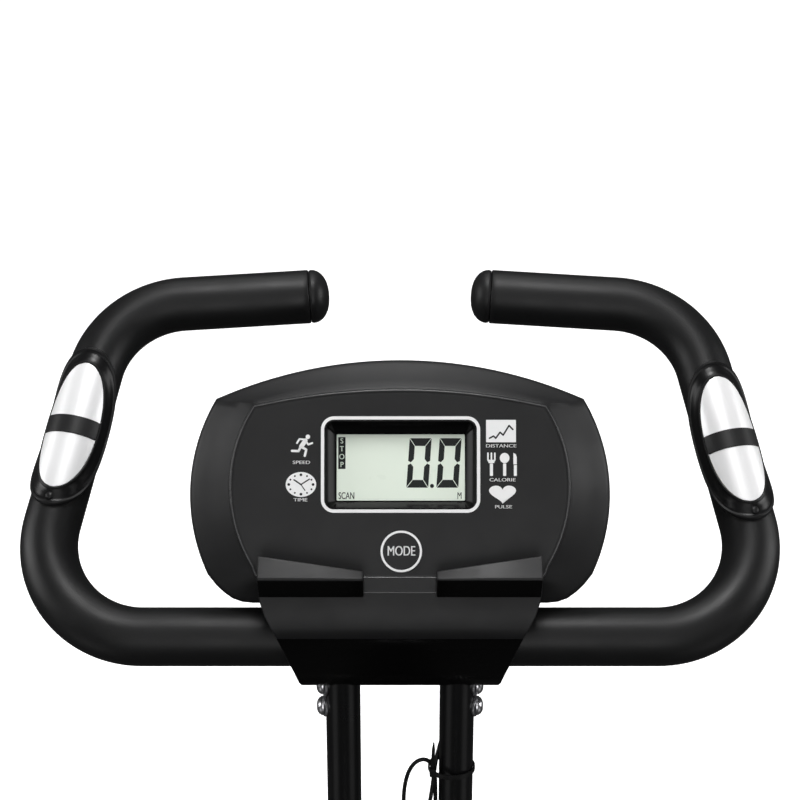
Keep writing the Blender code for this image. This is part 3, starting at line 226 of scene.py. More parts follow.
def bridge(bm, first, second, slot=0):
    """Joins two rings of vertices, either of which may be a single point."""
    count = max(len(first), len(second))
    for i in range(count):
        j = (i + 1) % count
        if len(first) == 1:
            corners = (first[0], second[j], second[i])
        elif len(second) == 1:
            corners = (first[i], first[j], second[0])
        else:
            corners = (first[i], first[j], second[j], second[i])
        bm.faces.new(corners).material_index = slot


def lofted(rings, closed=False, slots=None):
    """A skin through rings of points, capped at both ends or closed from the last ring to the first."""
    bm = bmesh.new()
    loops = [[bm.verts.new(p) for p in ring] for ring in rings]
    for k, (first, second) in enumerate(zip(loops, loops[1:])):
        bridge(bm, first, second, slots[k] if slots else 0)
    if closed:
        bridge(bm, loops[-1], loops[0])
    else:
        for loop in (loops[0], loops[-1]):
            if len(loop) > 2:
                bm.faces.new(loop)
    return bm


def circle(centre, axis, radius, sides):
    first, second = frame_of(axis)
    steps = [2 * pi * k / sides for k in range(sides)]
    return [Vector(centre) + radius * (cos(a) * first + sin(a) * second) for a in steps]


def turned(profile, origin, axis, sides=48, closed=False):
    """A turned solid from (radius, height along the axis) points; radius 0 closes an end."""
    axis = Vector(axis).normalized()
    rings = []
    for radius, height in profile:
        centre = Vector(origin) + height * axis
        rings.append([centre] if radius == 0 else circle(centre, axis, radius, sides))
    return lofted(rings, closed)


def rod(start, end, radius, sides=48, lip=0.6):
    """A round bar with slightly rounded ends."""
    long = (Vector(end) - Vector(start)).length
    profile = [(0, 0), (radius - lip, 0), (radius, lip), (radius, long - lip), (radius - lip, long)]
    profile += [(0, long)]
    return turned(profile, start, Vector(end) - Vector(start), sides)


def rings_along(path, radii, sides):
    """Circles square to a path, without twist. Each point has its own radius."""
    path = [Vector(p) for p in path]
    tangents = []
    for k in range(len(path)):
        before, after = path[max(k - 1, 0)], path[min(k + 1, len(path) - 1)]
        tangents.append((after - before).normalized())
    first, _ = frame_of(tangents[0])
    rings = []
    for point, tangent, radius in zip(path, tangents, radii):
        first = (first - tangent * first.dot(tangent)).normalized()
        second = tangent.cross(first)
        steps = [2 * pi * k / sides for k in range(sides)]
        rings.append([point + radius * (cos(a) * first + sin(a) * second) for a in steps])
    return rings


def rounded_path(corners, radii, step=radians(3), spacing=None):
    """A path through corners, each inner one rounded to its radius."""
    corners = [Vector(p) for p in corners]
    path = [corners[0]]
    for before, corner, after, radius in zip(corners, corners[1:], corners[2:], radii):
        back, on = (before - corner).normalized(), (after - corner).normalized()
        half = acos(max(-1, min(1, back.dot(on)))) / 2
        centre = corner + (back + on).normalized() * radius / sin(half)
        first = corner + back * radius / tan(half) - centre
        last = corner + on * radius / tan(half) - centre
        count = max(2, ceil(first.angle(last) / step))
        for k in range(count + 1):
            path.append(centre + radius * first.slerp(last, k / count))
    path.append(corners[-1])
    if spacing is None:
        return path
    filled = [path[0]]
    for a, b in zip(path, path[1:]):
        count = max(1, round((b - a).length / spacing))
        filled += [a.lerp(b, k / count) for k in range(1, count + 1)]
    return filled


def prism(outline, origin, axes, low, high):
    """An outline of (u, w) points, extruded from low to high along the third axis."""
    u, w, deep = axes
    flat = [Vector(origin) + a * u + b * w for a, b in outline]
    return lofted([[p + low * deep for p in flat], [p + high * deep for p in flat]])


def add_prism(bm, low_points, top_points):
    """Adds a closed shape between two copies of an outline to a mesh."""
    low = [bm.verts.new(p) for p in low_points]
    top = [bm.verts.new(p) for p in top_points]
    bridge(bm, low, top)
    bm.faces.new(low)
    bm.faces.new(top)


def arc(centre, radius, start, end, count):
    steps = [start + (end - start) * k / count for k in range(count + 1)]
    return [(centre[0] + radius * cos(a), centre[1] + radius * sin(a)) for a in steps]


def inset(outline, by):
    """An outline moved inwards by a distance. It runs anticlockwise."""
    moved = []
    for k, point in enumerate(outline):
        here = Vector(point)
        back = (here - Vector(outline[k - 1])).normalized()
        on = (Vector(outline[(k + 1) % len(outline)]) - here).normalized()
        side = (Vector((-back.y, back.x)) + Vector((-on.y, on.x))).normalized()
        share = max(0.5, side.dot(Vector((-on.y, on.x))))
        moved.append(tuple(here + side * by / share))
    return moved


def blended(first, second, share):
    """An outline part of the way between two with the same number of points."""
    return [tuple(Vector(a).lerp(Vector(b), share)) for a, b in zip(first, second)]


def capsule(first, r1, second, r2, count=24):
    """The belt-like outline round two circles, anticlockwise."""
    dx, dy = second[0] - first[0], second[1] - first[1]
    heading = atan2(dy, dx)
    lean = acos((r1 - r2) / sqrt(dx * dx + dy * dy))
    near = arc(first, r1, heading + lean, heading + 2 * pi - lean, count)
    far = arc(second, r2, heading - lean, heading + lean, count)
    return near + far


def rectangle(x0, x1, v0, v1, corner, count=8):
    """A rounded rectangle, anticlockwise."""
    points = []
    for cx, cv, start in ((x1, v0, -90), (x1, v1, 0), (x0, v1, 90), (x0, v0, 180)):
        inward_x = -corner if cx == x1 else corner
        inward_v = corner if cv == v0 else -corner
        points += arc((cx + inward_x, cv + inward_v), corner, radians(start), radians(start + 90), count)
    return points


def slab(lower, upper):
    """A closed solid between two grids of points."""
    bm = bmesh.new()
    grids = [[[bm.verts.new(p) for p in row] for row in grid] for grid in (lower, upper)]
    rows, columns = len(lower), len(lower[0])
    for grid in grids:
        for i in range(rows - 1):
            for j in range(columns - 1):
                bm.faces.new((grid[i][j], grid[i][j + 1], grid[i + 1][j + 1], grid[i + 1][j]))
    edge = [(0, j) for j in range(columns)] + [(i, columns - 1) for i in range(1, rows)]
    edge += [(rows - 1, j) for j in range(columns - 2, -1, -1)] + [(i, 0) for i in range(rows - 2, 0, -1)]
    for (i, j), (k, m) in zip(edge, edge[1:] + edge[:1]):
        bm.faces.new((grids[0][i][j], grids[0][k][m], grids[1][k][m], grids[1][i][j]))
    return bm


# ---------------------------------------------------------------- pieces


def piece(name, bm, looks, body, replaces=(), bevel=0.0, sharp=35):
    """Makes a bmesh in millimetres a finished piece that rides on a CAD body."""
    bmesh.ops.recalc_face_normals(bm, faces=bm.faces)
    mesh = bpy.data.meshes.new(name)
    bm.to_mesh(mesh)
    bm.free()
    mesh.transform(Matrix.Scale(MM, 4))
    looks = looks if isinstance(looks, (list, tuple)) else [looks]
    for look in looks:
        mesh.materials.append(MATERIALS[look])
    mesh.shade_smooth()
    mesh.set_sharp_from_angle(angle=radians(sharp))
    made = bpy.data.objects.new(name, mesh)
    bpy.context.scene.collection.objects.link(made)
    if bevel:
        soften(made, bevel)
    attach(made, body)
    if replaces:
        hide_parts(*replaces)
    return made


def soften(made, width, segments=3):
    """Rounds a piece's edges."""
    bevel = made.modifiers.new("bevel", "BEVEL")
    bevel.width = width * MM
    bevel.segments = segments
    bevel.limit_method = "ANGLE"
    bevel.angle_limit = radians(32)
    bevel.harden_normals = True


def cut(made, *cutters):
    """Cuts shapes from a piece, and applies the cuts at once."""
    helpers = []
    for cutter in cutters:
        bmesh.ops.recalc_face_normals(cutter, faces=cutter.faces)
        mesh = bpy.data.meshes.new("cutter")
        cutter.to_mesh(mesh)
        cutter.free()
        mesh.transform(Matrix.Scale(MM, 4))
        mesh.materials.append(made.data.materials[0])
        helper = bpy.data.objects.new("cutter", mesh)
        bpy.context.scene.collection.objects.link(helper)
        helpers.append(helper)
        boolean = made.modifiers.new("cut", "BOOLEAN")
        boolean.operation = "DIFFERENCE"
        boolean.solver = "EXACT"
        boolean.object = helper
    order = [m for m in made.modifiers if m.type != "BOOLEAN"]
    for modifier in order:
        modifier.show_viewport = False
    bpy.context.view_layer.update()
    graph = bpy.context.evaluated_depsgraph_get()
    result = bpy.data.meshes.new_from_object(made.evaluated_get(graph))
    for modifier in [m for m in made.modifiers if m.type == "BOOLEAN"]:
        made.modifiers.remove(modifier)
    for modifier in order:
        modifier.show_viewport = True
    made.data = result
    result.shade_smooth()
    result.set_sharp_from_angle(angle=radians(35))
    for helper in helpers:
        bpy.data.objects.remove(helper)
    return made


# ---------------------------------------------------------------- materials


def shader_material(name, colour, roughness, metallic=0.0, specular=0.5):
    made = bpy.data.materials.new(name)
    made.use_nodes = True
    shader = made.node_tree.nodes["Principled BSDF"]
    shader.inputs["Base Color"].default_value = (*colour, 1)
    shader.inputs["Roughness"].default_value = roughness
    shader.inputs["Metallic"].default_value = metallic
    shader.inputs["Specular IOR Level"].default_value = specular
    return made


def add_node(made, kind, **inputs):
    node = made.node_tree.nodes.new(kind)
    for key, value in inputs.items():
        node.inputs[key].default_value = value
    return node


def link(made, out, into):
    made.node_tree.links.new(out, into)


def object_noise(made, scale, detail):
    """Noise in the object's own coordinates, in cycles per metre."""
    where = add_node(made, "ShaderNodeTexCoord")
    noise = add_node(made, "ShaderNodeTexNoise", Scale=scale, Detail=detail)
    link(made, where.outputs["Object"], noise.inputs["Vector"])
    return noise


def spread(made, source, low, high, into):
    """Maps a 0 to 1 value onto a range and feeds it to a socket."""
    ramp = add_node(made, "ShaderNodeMapRange")
    ramp.inputs["From Min"].default_value = 0.3
    ramp.inputs["From Max"].default_value = 0.7
    ramp.inputs["To Min"].default_value = low
    ramp.inputs["To Max"].default_value = high
    link(made, source, ramp.inputs["Value"])
    link(made, ramp.outputs["Result"], into)


def grain(made, scale, strength):
    """A fine bump."""
    noise = object_noise(made, scale, 4.0)
    bump = add_node(made, "ShaderNodeBump", Strength=strength, Distance=0.0002)
    link(made, noise.outputs["Fac"], bump.inputs["Height"])
    shader = made.node_tree.nodes["Principled BSDF"]
    link(made, bump.outputs["Normal"], shader.inputs["Normal"])


def tinted(made, colour, scale, depth):
    """Soft variation of the base colour, from darker to lighter by depth."""
    noise = object_noise(made, scale, 3.0)
    mix = add_node(made, "ShaderNodeMix")
    mix.data_type = "RGBA"
    dark = [c * (1 - depth) for c in colour]
    light = [c * (1 + depth) for c in colour]
    mix.inputs[6].default_value = (*dark, 1)
    mix.inputs[7].default_value = (*light, 1)
    link(made, noise.outputs["Fac"], mix.inputs[0])
    link(made, mix.outputs[2], made.node_tree.nodes["Principled BSDF"].inputs["Base Color"])


def textured(name, colour, roughness, scale, bump, vary=0.12, tint=0.15, **options):
    """A finished material: tinted colour, uneven roughness and a fine grain."""
    made = shader_material(name, colour, roughness, **options)
    shader = made.node_tree.nodes["Principled BSDF"]
    tinted(made, colour, 18.0, tint)
    smears = object_noise(made, 35.0, 5.0)
    low, high = roughness * (1 - vary), roughness * (1 + vary)
    spread(made, smears.outputs["Fac"], low, high, shader.inputs["Roughness"])
    grain(made, scale, bump)
    return made


def make_materials():
    made = {}

    def add(name, *values, **options):
        made[name] = textured(name, *values, **options)

    add("foam", (0.0080, 0.0080, 0.0083), 0.42, 2400.0, 0.35, specular=0.26)
    add("satin_black", (0.0085, 0.0085, 0.0090), 0.42, 3000.0, 0.12, specular=0.24)
    add("strip_grey", (0.016, 0.016, 0.0165), 0.36, 2400.0, 0.08, specular=0.30)
    # The panel's edge bead: a lighter black than the panel, as a painted highlight along the edge.
    add("ridge_black", (0.040, 0.040, 0.041), 0.26, 2400.0, 0.05, specular=0.55)
    add("panel_black", (0.0105, 0.0105, 0.0110), 0.46, 3600.0, 0.15, specular=0.28)
    # A darker gloss black: the LCD bezel's own finish, and painted shade on the holder's down-facing faces.
    add("dark_gloss", (0.0025, 0.0025, 0.0025), 0.16, 900.0, 0.01, specular=0.14)
    add("gloss_black", (0.0035, 0.0035, 0.0038), 0.12, 700.0, 0.01, specular=0.30)
    add("cap_black", (0.0100, 0.0100, 0.0104), 0.42, 2600.0, 0.15, specular=0.24)
    add("paint_black", (0.0050, 0.0050, 0.0053), 0.30, 1800.0, 0.06, specular=0.25)
    add("rubber_black", (0.0090, 0.0090, 0.0090), 0.65, 1500.0, 0.25, specular=0.20)
    add("cable_black", (0.0060, 0.0060, 0.0060), 0.42, 1200.0, 0.08, specular=0.25)
    add("zinc", (0.62, 0.62, 0.64), 0.28, 900.0, 0.05, tint=0.06, metallic=1.0)
    add("chrome", (0.88, 0.88, 0.89), 0.06, 300.0, 0.005, tint=0.02, metallic=1.0)
    add("plate_steel", (0.93, 0.93, 0.935), 0.34, 500.0, 0.01, tint=0.01, metallic=0.25)
    add("iron", (0.23, 0.23, 0.24), 0.42, 700.0, 0.12, metallic=1.0)
    add("lcd", (0.88, 0.97, 0.85), 0.30, 2500.0, 0.02, tint=0.03, specular=0.3)
    add("lcd_ink", (0.012, 0.015, 0.014), 0.45, 1500.0, 0.02, specular=0.2)
    add("print_white", (0.92, 0.92, 0.92), 0.50, 2500.0, 0.05, tint=0.02, specular=0.3)
    add("housing_black", (0.0055, 0.0055, 0.0058), 0.24, 1600.0, 0.05, specular=0.35)
    add("board_green", (0.02, 0.16, 0.06), 0.45, 900.0, 0.10)
    made["vinyl"] = make_vinyl()
    return made


def make_vinyl():
    """Seat vinyl with a pebbled grain."""
    made = shader_material("vinyl", (0.018, 0.018, 0.019), 0.50, specular=0.42)
    shader = made.node_tree.nodes["Principled BSDF"]
    where = add_node(made, "ShaderNodeTexCoord")
    cells = add_node(made, "ShaderNodeTexVoronoi", Scale=520.0)
    link(made, where.outputs["Object"], cells.inputs["Vector"])
    bump = add_node(made, "ShaderNodeBump", Strength=0.35, Distance=0.0005)
    link(made, cells.outputs["Distance"], bump.inputs["Height"])
    link(made, bump.outputs["Normal"], shader.inputs["Normal"])
    tinted(made, (0.018, 0.018, 0.019), 25.0, 0.2)
    wear = object_noise(made, 30.0, 4.0)
    spread(made, wear.outputs["Fac"], 0.42, 0.60, shader.inputs["Roughness"])
    return made


# ---------------------------------------------------------------- handlebar


def loop_path(side):
    corners = [
        on_loop(side * FOAM_INNER_END, LOOP_LOW_CORNER[1]),
        on_loop(side * LOOP_LOW_CORNER[0], LOOP_LOW_CORNER[1]),
        on_loop(side * LOOP_HIGH_CORNER[0], LOOP_HIGH_CORNER[1]),
        on_loop(side * LOOP_END[0], LOOP_END[1]),
    ]
    return rounded_path(corners, [LOW_CORNER_R, HIGH_CORNER_R], spacing=5.0)


def make_grips():
    for side, name in ((-1, "left"), (1, "right")):
        path = loop_path(side)
        lip = 0.7
        end = path[-1]
        out = (end - path[-2]).normalized()
        path = path[:-1] + [end - out * lip, end - out * lip * 0.4, end]
        radii = [FOAM_R] * (len(path) - 2) + [FOAM_R - 0.35, FOAM_R - lip]
        outside = rings_along(path, radii, 56)
        inside = rings_along(path, [FOAM_BORE_R] * len(path), 56)
        foam = lofted(outside + inside[::-1], closed=True)
        piece("foam_" + name, foam, "foam", "rear_frame", ["foam_grip_" + name], sharp=50)
        dome = [(0, 0.3), (18.2, 0.3), (18.9, 1.0), (19.15, 2.2), (18.9, 4.2), (18.1, 6.4), (16.4, 8.8)]
        dome += [(13.8, 11.0), (10.4, 12.7), (6.6, 13.7), (3.2, 14.1), (0, 14.2)]
        cap = turned(dome, end, out, 56)
        piece("end_cap_" + name, cap, "cap_black", "rear_frame", ["grip_end_cap_" + name])


def straight_grip(side):
    low = on_loop(side * LOOP_LOW_CORNER[0], LOOP_LOW_CORNER[1])
    high = on_loop(side * LOOP_HIGH_CORNER[0], LOOP_HIGH_CORNER[1])
    along = (high - low).normalized()
    return low + along * SENSOR_AT[side], along


def grip_point(side, s, angle, radius):
    """A point round the grip: s along it from the sensor's middle, angle from the sensor's centre."""
    middle, along = straight_grip(side)
    outward = along.cross(LOOP_FACE).normalized()
    if outward.x * side < 0:
        outward = -outward
    turned_by = angle + SENSOR_TURN
    return middle + s * along + radius * (cos(turned_by) * LOOP_FACE + sin(turned_by) * outward)


def make_sensors():
    """A clip with two lips, a black band between them, two steel plates and the strip that parts them."""
    around = 80
    # (share of the way from the plate's edge to the clip's edge, radius)
    profile = [(0.0, 21.6), (0.015, 22.7), (0.05, 23.0), (0.10, 22.8), (0.13, 22.0), (0.17, 21.7)]
    profile += [(0.40, 21.6), (0.60, 21.4), (0.74, 21.3), (0.78, 21.5), (0.81, 22.0), (0.85, 22.4)]
    profile += [(0.90, 22.2), (0.95, 21.4), (0.985, 20.6), (1.0, 19.9)]
    lips = [share <= 0.13 or share >= 0.78 for share, _ in profile]
    for side, name in ((-1, "left"), (1, "right")):

        def ring(half, spread, radius):
            steps = [2 * pi * k / around for k in range(around)]
            return [grip_point(side, half * sin(a), spread * cos(a), radius) for a in steps]

        lane = []
        for share, radius in profile:
            half = PLATE_HALF + 0.3 + (SENSOR_HALF - PLATE_HALF - 0.3) * share
            spread = PLATE_SPREAD + (SENSOR_SPREAD - PLATE_SPREAD) * share
            lane.append((half, spread, radius))
        bed = [(PLATE_HALF * share, PLATE_SPREAD * share, SENSOR_BED_R) for share in (0.25, 0.5, 0.75, 1.0)]
        rings = [[grip_point(side, 0, 0, SENSOR_BED_R)]] + [ring(*step) for step in bed + lane]
        rings += [ring(half, spread, FOAM_R + 0.2) for half, spread, _ in reversed(bed + lane)]
        rings.append([grip_point(side, 0, 0, FOAM_R + 0.2)])
        on, slot = "rear_frame", "black_plastic"
        slots = [1] * (len(bed) + 1) + [0 if lip else 1 for lip in lips]
        slots += [0] * (len(rings) - 1 - len(slots))
        shell = lofted(rings, slots=slots)
        looks = ["cap_black", "paint_black"]
        piece("sensor_shell_" + name, shell, looks, on, ["pulse_sensor_shell_" + name])
        strip = sensor_sheet(side, -STRIP_HALF, STRIP_HALF, 8, 30, 21.0, 23.2, 0.99)
        piece("sensor_strip_" + name, strip, "strip_grey", on, bevel=0.6)
        for end, label in ((1, "upper"), (-1, "lower")):
            low, high = sorted((end * (STRIP_HALF - 0.6), end * PLATE_HALF))
            plate = sensor_sheet(side, low, high, 26, 24, 20.9, 22.4, 1.0)
            cad = f"pulse_plate_{label}_{name}"
            made_as = f"sensor_plate_{label}_{name}"
            piece(made_as, plate, "plate_steel", on, [cad], bevel=0.25)
        bump_s = -(PLATE_HALF + SENSOR_HALF) / 2
        bump_at = grip_point(side, bump_s, 0, 21.4)
        up = (grip_point(side, bump_s, 0, 30) - bump_at).normalized()
        dome = [(0, 0), (2.6, 0), (2.6, 0.7), (2.2, 1.2), (1.3, 1.6), (0, 1.8)]
        piece("sensor_bump_" + name, turned(dome, bump_at, up, 28), "cap_black", on)


def sensor_sheet(side, low, high, rows, columns, inner, outer, share):
    """A curved sheet inside the sensor's oval, from low to high along the grip."""
    sheets = []
    for radius in (inner, outer):
        sheet = []
        for i in range(rows + 1):
            s = low + (high - low) * i / rows
            wide = PLATE_SPREAD * share * sqrt(max(0.004, 1 - (s / (PLATE_HALF + 0.1)) ** 2))
            steps = [-wide + 2 * wide * j / columns for j in range(columns + 1)]
            sheet.append([grip_point(side, s, a, radius) for a in steps])
        sheets.append(sheet)
    return slab(*sheets)


def make_posts():
    for side, name in ((-1, "left"), (1, "right")):
        x = side * POST_HALF_SPACING
        tube = rod(on_post(x, 417), on_post(x, -20), POST_R, 56)
        piece("post_" + name, tube, "paint_black", "rear_frame", ["handlebar_post"])
        for k, below in enumerate((35.5, 51.5)):
            make_post_bolt(side, f"{name}_{k}", below)


def make_post_bolt(side, name, below):
    """A domed bolt with a hexagonal socket, on a washer curved to the tube."""
    start = on_post(side * POST_HALF_SPACING, below)
    out = side * RIGHT
    washer = []
    for radius in (POST_R + 0.1, POST_R + 1.7):
        sheet = []
        for i in range(9):
            up = -7.2 + 14.4 * i / 8
            half = sqrt(max(0.3, 7.4**2 - up**2)) / POST_R
            row = []
            for j in range(13):
                angle = -half + 2 * half * j / 12
                row.append(start + up * POST_UP + radius * (cos(angle) * out + sin(angle) * POST_BACK))
            sheet.append(row)
        washer.append(sheet)
    piece("post_washer_" + name, slab(*washer), "zinc", "rear_frame", bevel=0.25)
    head = [(0, POST_R + 1.0), (6.4, POST_R + 1.0), (6.6, POST_R + 1.6), (6.3, POST_R + 3.0)]
    head += [(5.2, POST_R + 4.6), (3.8, POST_R + 5.5), (2.6, POST_R + 5.9), (2.5, POST_R + 3.6)]
    head += [(0, POST_R + 3.6)]
    piece("post_bolt_" + name, turned(head, start, out, 36), "zinc", "rear_frame")


# ---------------------------------------------------------------- console


def face_outline(side, top, corner, low_v, bend):
    """A shape on the face with bowed sides and top, anticlockwise from the middle of its lower edge.

    side is (radius, widest x, v of the widest place), top is (radius, highest v), corner is where the two
    meet, low_v is how far below the widest place the side ends, and bend the right lower corner's points.
    """
    side_r, side_x, side_v = side
    top_r, top_v = top
    count = 26
    low = atan2(-low_v, sqrt(side_r**2 - low_v**2))
    high = atan2(corner[1] - side_v, corner[0] - (side_x - side_r))
    right = arc((side_x - side_r, side_v), side_r, low, high, count)
    lean = atan2(corner[1] - (top_v - top_r), corner[0])
    crown = arc((0, top_v - top_r), top_r, lean, pi - lean, 2 * count)[1:-1]
    left = [(-x, v) for x, v in reversed(right)]
    return bend[::-1] + right + crown + left + [(-x, v) for x, v in bend]


def console_outline():
    bend = [(123.6, -5.2), (120.0, -9.6), (115.0, -14.2), (109.4, -18.2), (103.0, -20.4), (96.0, -21.1)]
    return face_outline((122.6, 137.7, 50.2), (297.5, 138.1), (120.5, 112.6), 52.6, bend)


def panel_outline():
    """The raised inner panel, with as many points as the outer shape."""
    bend = [(92.6, 1.6), (91.6, -0.4), (90.0, -1.6), (86.0, -2.0), (78.0, -2.0), (66.0, -2.0)]
    return face_outline((95.2, 107.9, 55.0), (422.0, 116.2), (92.7, 105.9), 50.0, bend)


def face_ring(outline, n):
    return [on_face(x, v, n) for x, v in outline]


def stepped(rows):
    """Rings on the face, each an outline moved inwards by a distance, at a depth."""
    return [face_ring(inset(outline, by) if by else outline, n) for outline, by, n in rows]


def shrunk(sides, by):
    """A rectangle's (x0, x1, v0, v1) with each side moved inwards."""
    x0, x1, v0, v1 = sides
    return (x0 + by, x1 - by, v0 + by, v1 - by)


def make_console():
    """The front shell with its window and button hole, the display and the rounded back shell."""
    on = "rear_frame"
    outer, panel = console_outline(), panel_outline()
    brow = inset(outer, 3.4)
    foot = inset(panel, -3.4)
    rows = [(outer, 3.0, SPLIT_N), (outer, 0.7, SPLIT_N), (outer, 0.2, SPLIT_N + 0.6)]
    rows += [(outer, 0, SPLIT_N + 2.5), (outer, 0.2, -20.5), (outer, 0.9, -18.6), (outer, 2.0, -17.2)]
    rows += [(brow, 0, -16.2), (blended(brow, foot, 0.33), 0, -12.4)]
    rows += [(blended(brow, foot, 0.66), 0, -7.9), (foot, 0, -2.9), (panel, -2.3, -2.3)]
    rows += [(panel, -1.9, -0.4), (panel, -1.3, 0.25), (panel, -0.6, 0.35), (panel, 0.1, 0.1)]
    rows += [(panel, 0.5, -0.1), (panel, 2.0, -0.1)]
    front_shape = lofted(stepped(rows))
    front = piece("console_front", front_shape, "panel_black", on, ["console_front_cover"])
    make_ridge(panel)
    mouth = shrunk(WINDOW, WINDOW_LINE)
    opening = lofted([face_ring(rectangle(*mouth, 6.2), 2.0), face_ring(rectangle(*mouth, 6.2), -12)])
    hole = turned([(MODE_HOLE_R, -12), (MODE_HOLE_R, 3)], on_face(*MODE_AT, 0), FACE_N, 72)
    cut(front, opening, hole)

    bezel_rings = [face_ring(rectangle(*mouth, 6.2), -0.35)]
    bezel_rings.append(face_ring(rectangle(*shrunk(mouth, 0.9), 5.4), -0.45))
    bezel_rings.append(face_ring(rectangle(*shrunk(mouth, 1.5), 4.9), -1.2))
    bezel_rings.append(face_ring(rectangle(*shrunk(GLASS, -0.8), 1.3), GLASS_N + 0.3))
    bezel_rings.append(face_ring(rectangle(*GLASS, 0.7), GLASS_N))
    bezel_rings.append(face_ring(rectangle(*GLASS, 0.7), GLASS_N - 1.5))
    bezel_rings.append(face_ring(rectangle(*mouth, 6.2), GLASS_N - 1.5))
    piece("lcd_bezel", lofted(bezel_rings, closed=True), "dark_gloss", on, sharp=28)
    behind = rectangle(*shrunk(GLASS, -1), 0.5)
    glass = prism(behind, FACE_ORIGIN, FACE_AXES, GLASS_N - 4, GLASS_N - 1.6)
    piece("lcd_glass", glass, "lcd", on, ["lcd_display"])

    steps = [(3.0, SPLIT_N - 0.5), (0.7, SPLIT_N - 0.5), (0.1, SPLIT_N - 1.1), (0.1, -31), (0.9, -36)]
    steps += [(2.8, -41), (5.8, -45.5), (9.8, -49.2), (14.6, -52), (20.0, -53.6), (26.0, -54)]
    back = lofted(stepped([(outer, by, n) for by, n in steps]))
    piece("console_back", back, "gloss_black", on, ["console_back_cover"])


def make_ridge(panel):
    """The fine raised bead along the panel's edge, coloured lighter than the panel as a painted highlight
    line.
    """
    bead = []
    for k in range(8):
        a = 2 * pi * k / 8
        bead.append(face_ring(inset(panel, -1.0 + 0.62 * cos(a)), 0.30 + 0.42 * sin(a)))
    piece("panel_ridge", lofted(bead, closed=True), "ridge_black", "rear_frame", sharp=80)


def make_mode_button():
    rim = MODE_RIM_R
    edge = [(0, -6.4), (MODE_R + 2, -6.4), (MODE_R + 2, -4.8), (rim, -4.8), (rim, -0.1), (rim - 0.4, 0.25)]
    edge += [(rim - 2, 0.35), (0, 0.35)]
    button = turned(edge, on_face(*MODE_AT, 0), FACE_N, 72)
    piece("mode_key", button, "panel_black", "mode_button", ["mode_button"])


# ---------------------------------------------------------------- printed marks


def ink(name, outlines, base_n, look="print_white", high=PRINT_HIGH):
    """Flat printed shapes on the console's face, all as one piece. Each outline is (x, v) points."""
    bm = bmesh.new()
    for outline in outlines:
        add_prism(bm, face_ring(outline, base_n), face_ring(outline, base_n + high))
    bmesh.ops.triangulate(bm, faces=[f for f in bm.faces if len(f.verts) > 4])
    piece(name, bm, look, "rear_frame", sharp=30)


def band(outer, inner, base_n, high=PRINT_HIGH):
    """A printed ring between two outlines with the same number of points."""
    rings = [face_ring(outer, base_n), face_ring(outer, base_n + high)]
    rings += [face_ring(inner, base_n + high), face_ring(inner, base_n)]
    return lofted(rings, closed=True)


def thick_line(points, width):
    """Outlines that draw a line with round joints: one capsule for each stretch."""
    return [capsule(a, width / 2, b, width / 2 * 0.999, 6) for a, b in zip(points, points[1:])]


def ellipse(cx, cv, rx, rv, count=40):
    return [(cx + rx * cos(2 * pi * k / count), cv + rv * sin(2 * pi * k / count)) for k in range(count)]


def lettering(name, text, x, v, height, base_n, look="print_white", width=1.0, body="rear_frame", bold=0.0):
    """Plain function words in the built-in sans letter, centred on a point of the face.

    A bold word is struck twice, bold to the left and to the right.
    """
    curve = bpy.data.curves.new(name, "FONT")
    curve.body = text
    curve.align_x = "CENTER"
    curve.align_y = "CENTER"
    curve.size = height / 0.70
    curve.extrude = PRINT_HIGH / 2
    maker = bpy.data.objects.new(name + "_maker", curve)
    bpy.context.scene.collection.objects.link(maker)
    bpy.context.view_layer.update()
    mesh = bpy.data.meshes.new_from_object(maker.evaluated_get(bpy.context.evaluated_depsgraph_get()))
    bpy.data.objects.remove(maker)
    place = Matrix((RIGHT, FACE_V, FACE_N)).transposed().to_4x4()
    place.translation = on_face(x, v, base_n + PRINT_HIGH / 2) * MM
    mesh.transform(Matrix.Diagonal((width, 1, 1, 1)))
    if bold:
        struck = bmesh.new()
        for shift in (-bold, bold):
            mesh.transform(Matrix.Translation((shift, 0, 0)))
            struck.from_mesh(mesh)
            mesh.transform(Matrix.Translation((-shift, 0, 0)))
        struck.to_mesh(mesh)
        struck.free()
    mesh.transform(place @ Matrix.Scale(MM, 4))
    mesh.materials.clear()
    mesh.materials.append(MATERIALS[look])
    made = bpy.data.objects.new(name, mesh)
    bpy.context.scene.collection.objects.link(made)
    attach(made, body)


def seven_segment(cx, cv, wide, tall, thick, side_thick, slant):
    """The outlines of a zero on a segment display, with mitred corners and thin gaps."""
    gap = 0.28
    x0, x1, v1 = -wide / 2, wide / 2, tall / 2
    shapes = []
    for s in (1, -1):
        top = [(x0 + gap, s * v1), (x1 - gap, s * v1), (x1 - side_thick - gap, s * (v1 - thick))]
        top.append((x0 + side_thick + gap, s * (v1 - thick)))
        shapes.append(top)
        for t in (1, -1):
            tip = 1.3
            edge = [(t * x1, s * (v1 - gap)), (t * x1, s * tip)]
            edge += [(t * (x1 - side_thick / 2), s * (tip - 0.9))]
            edge.append((t * (x1 - side_thick), s * (tip + 1.2)))
            edge.append((t * (x1 - side_thick), s * (v1 - thick - gap)))
            shapes.append(edge)
    placed = []
    for shape in shapes:
        placed.append([(cx + x + slant * v, cv + v) for x, v in shape])
    return placed


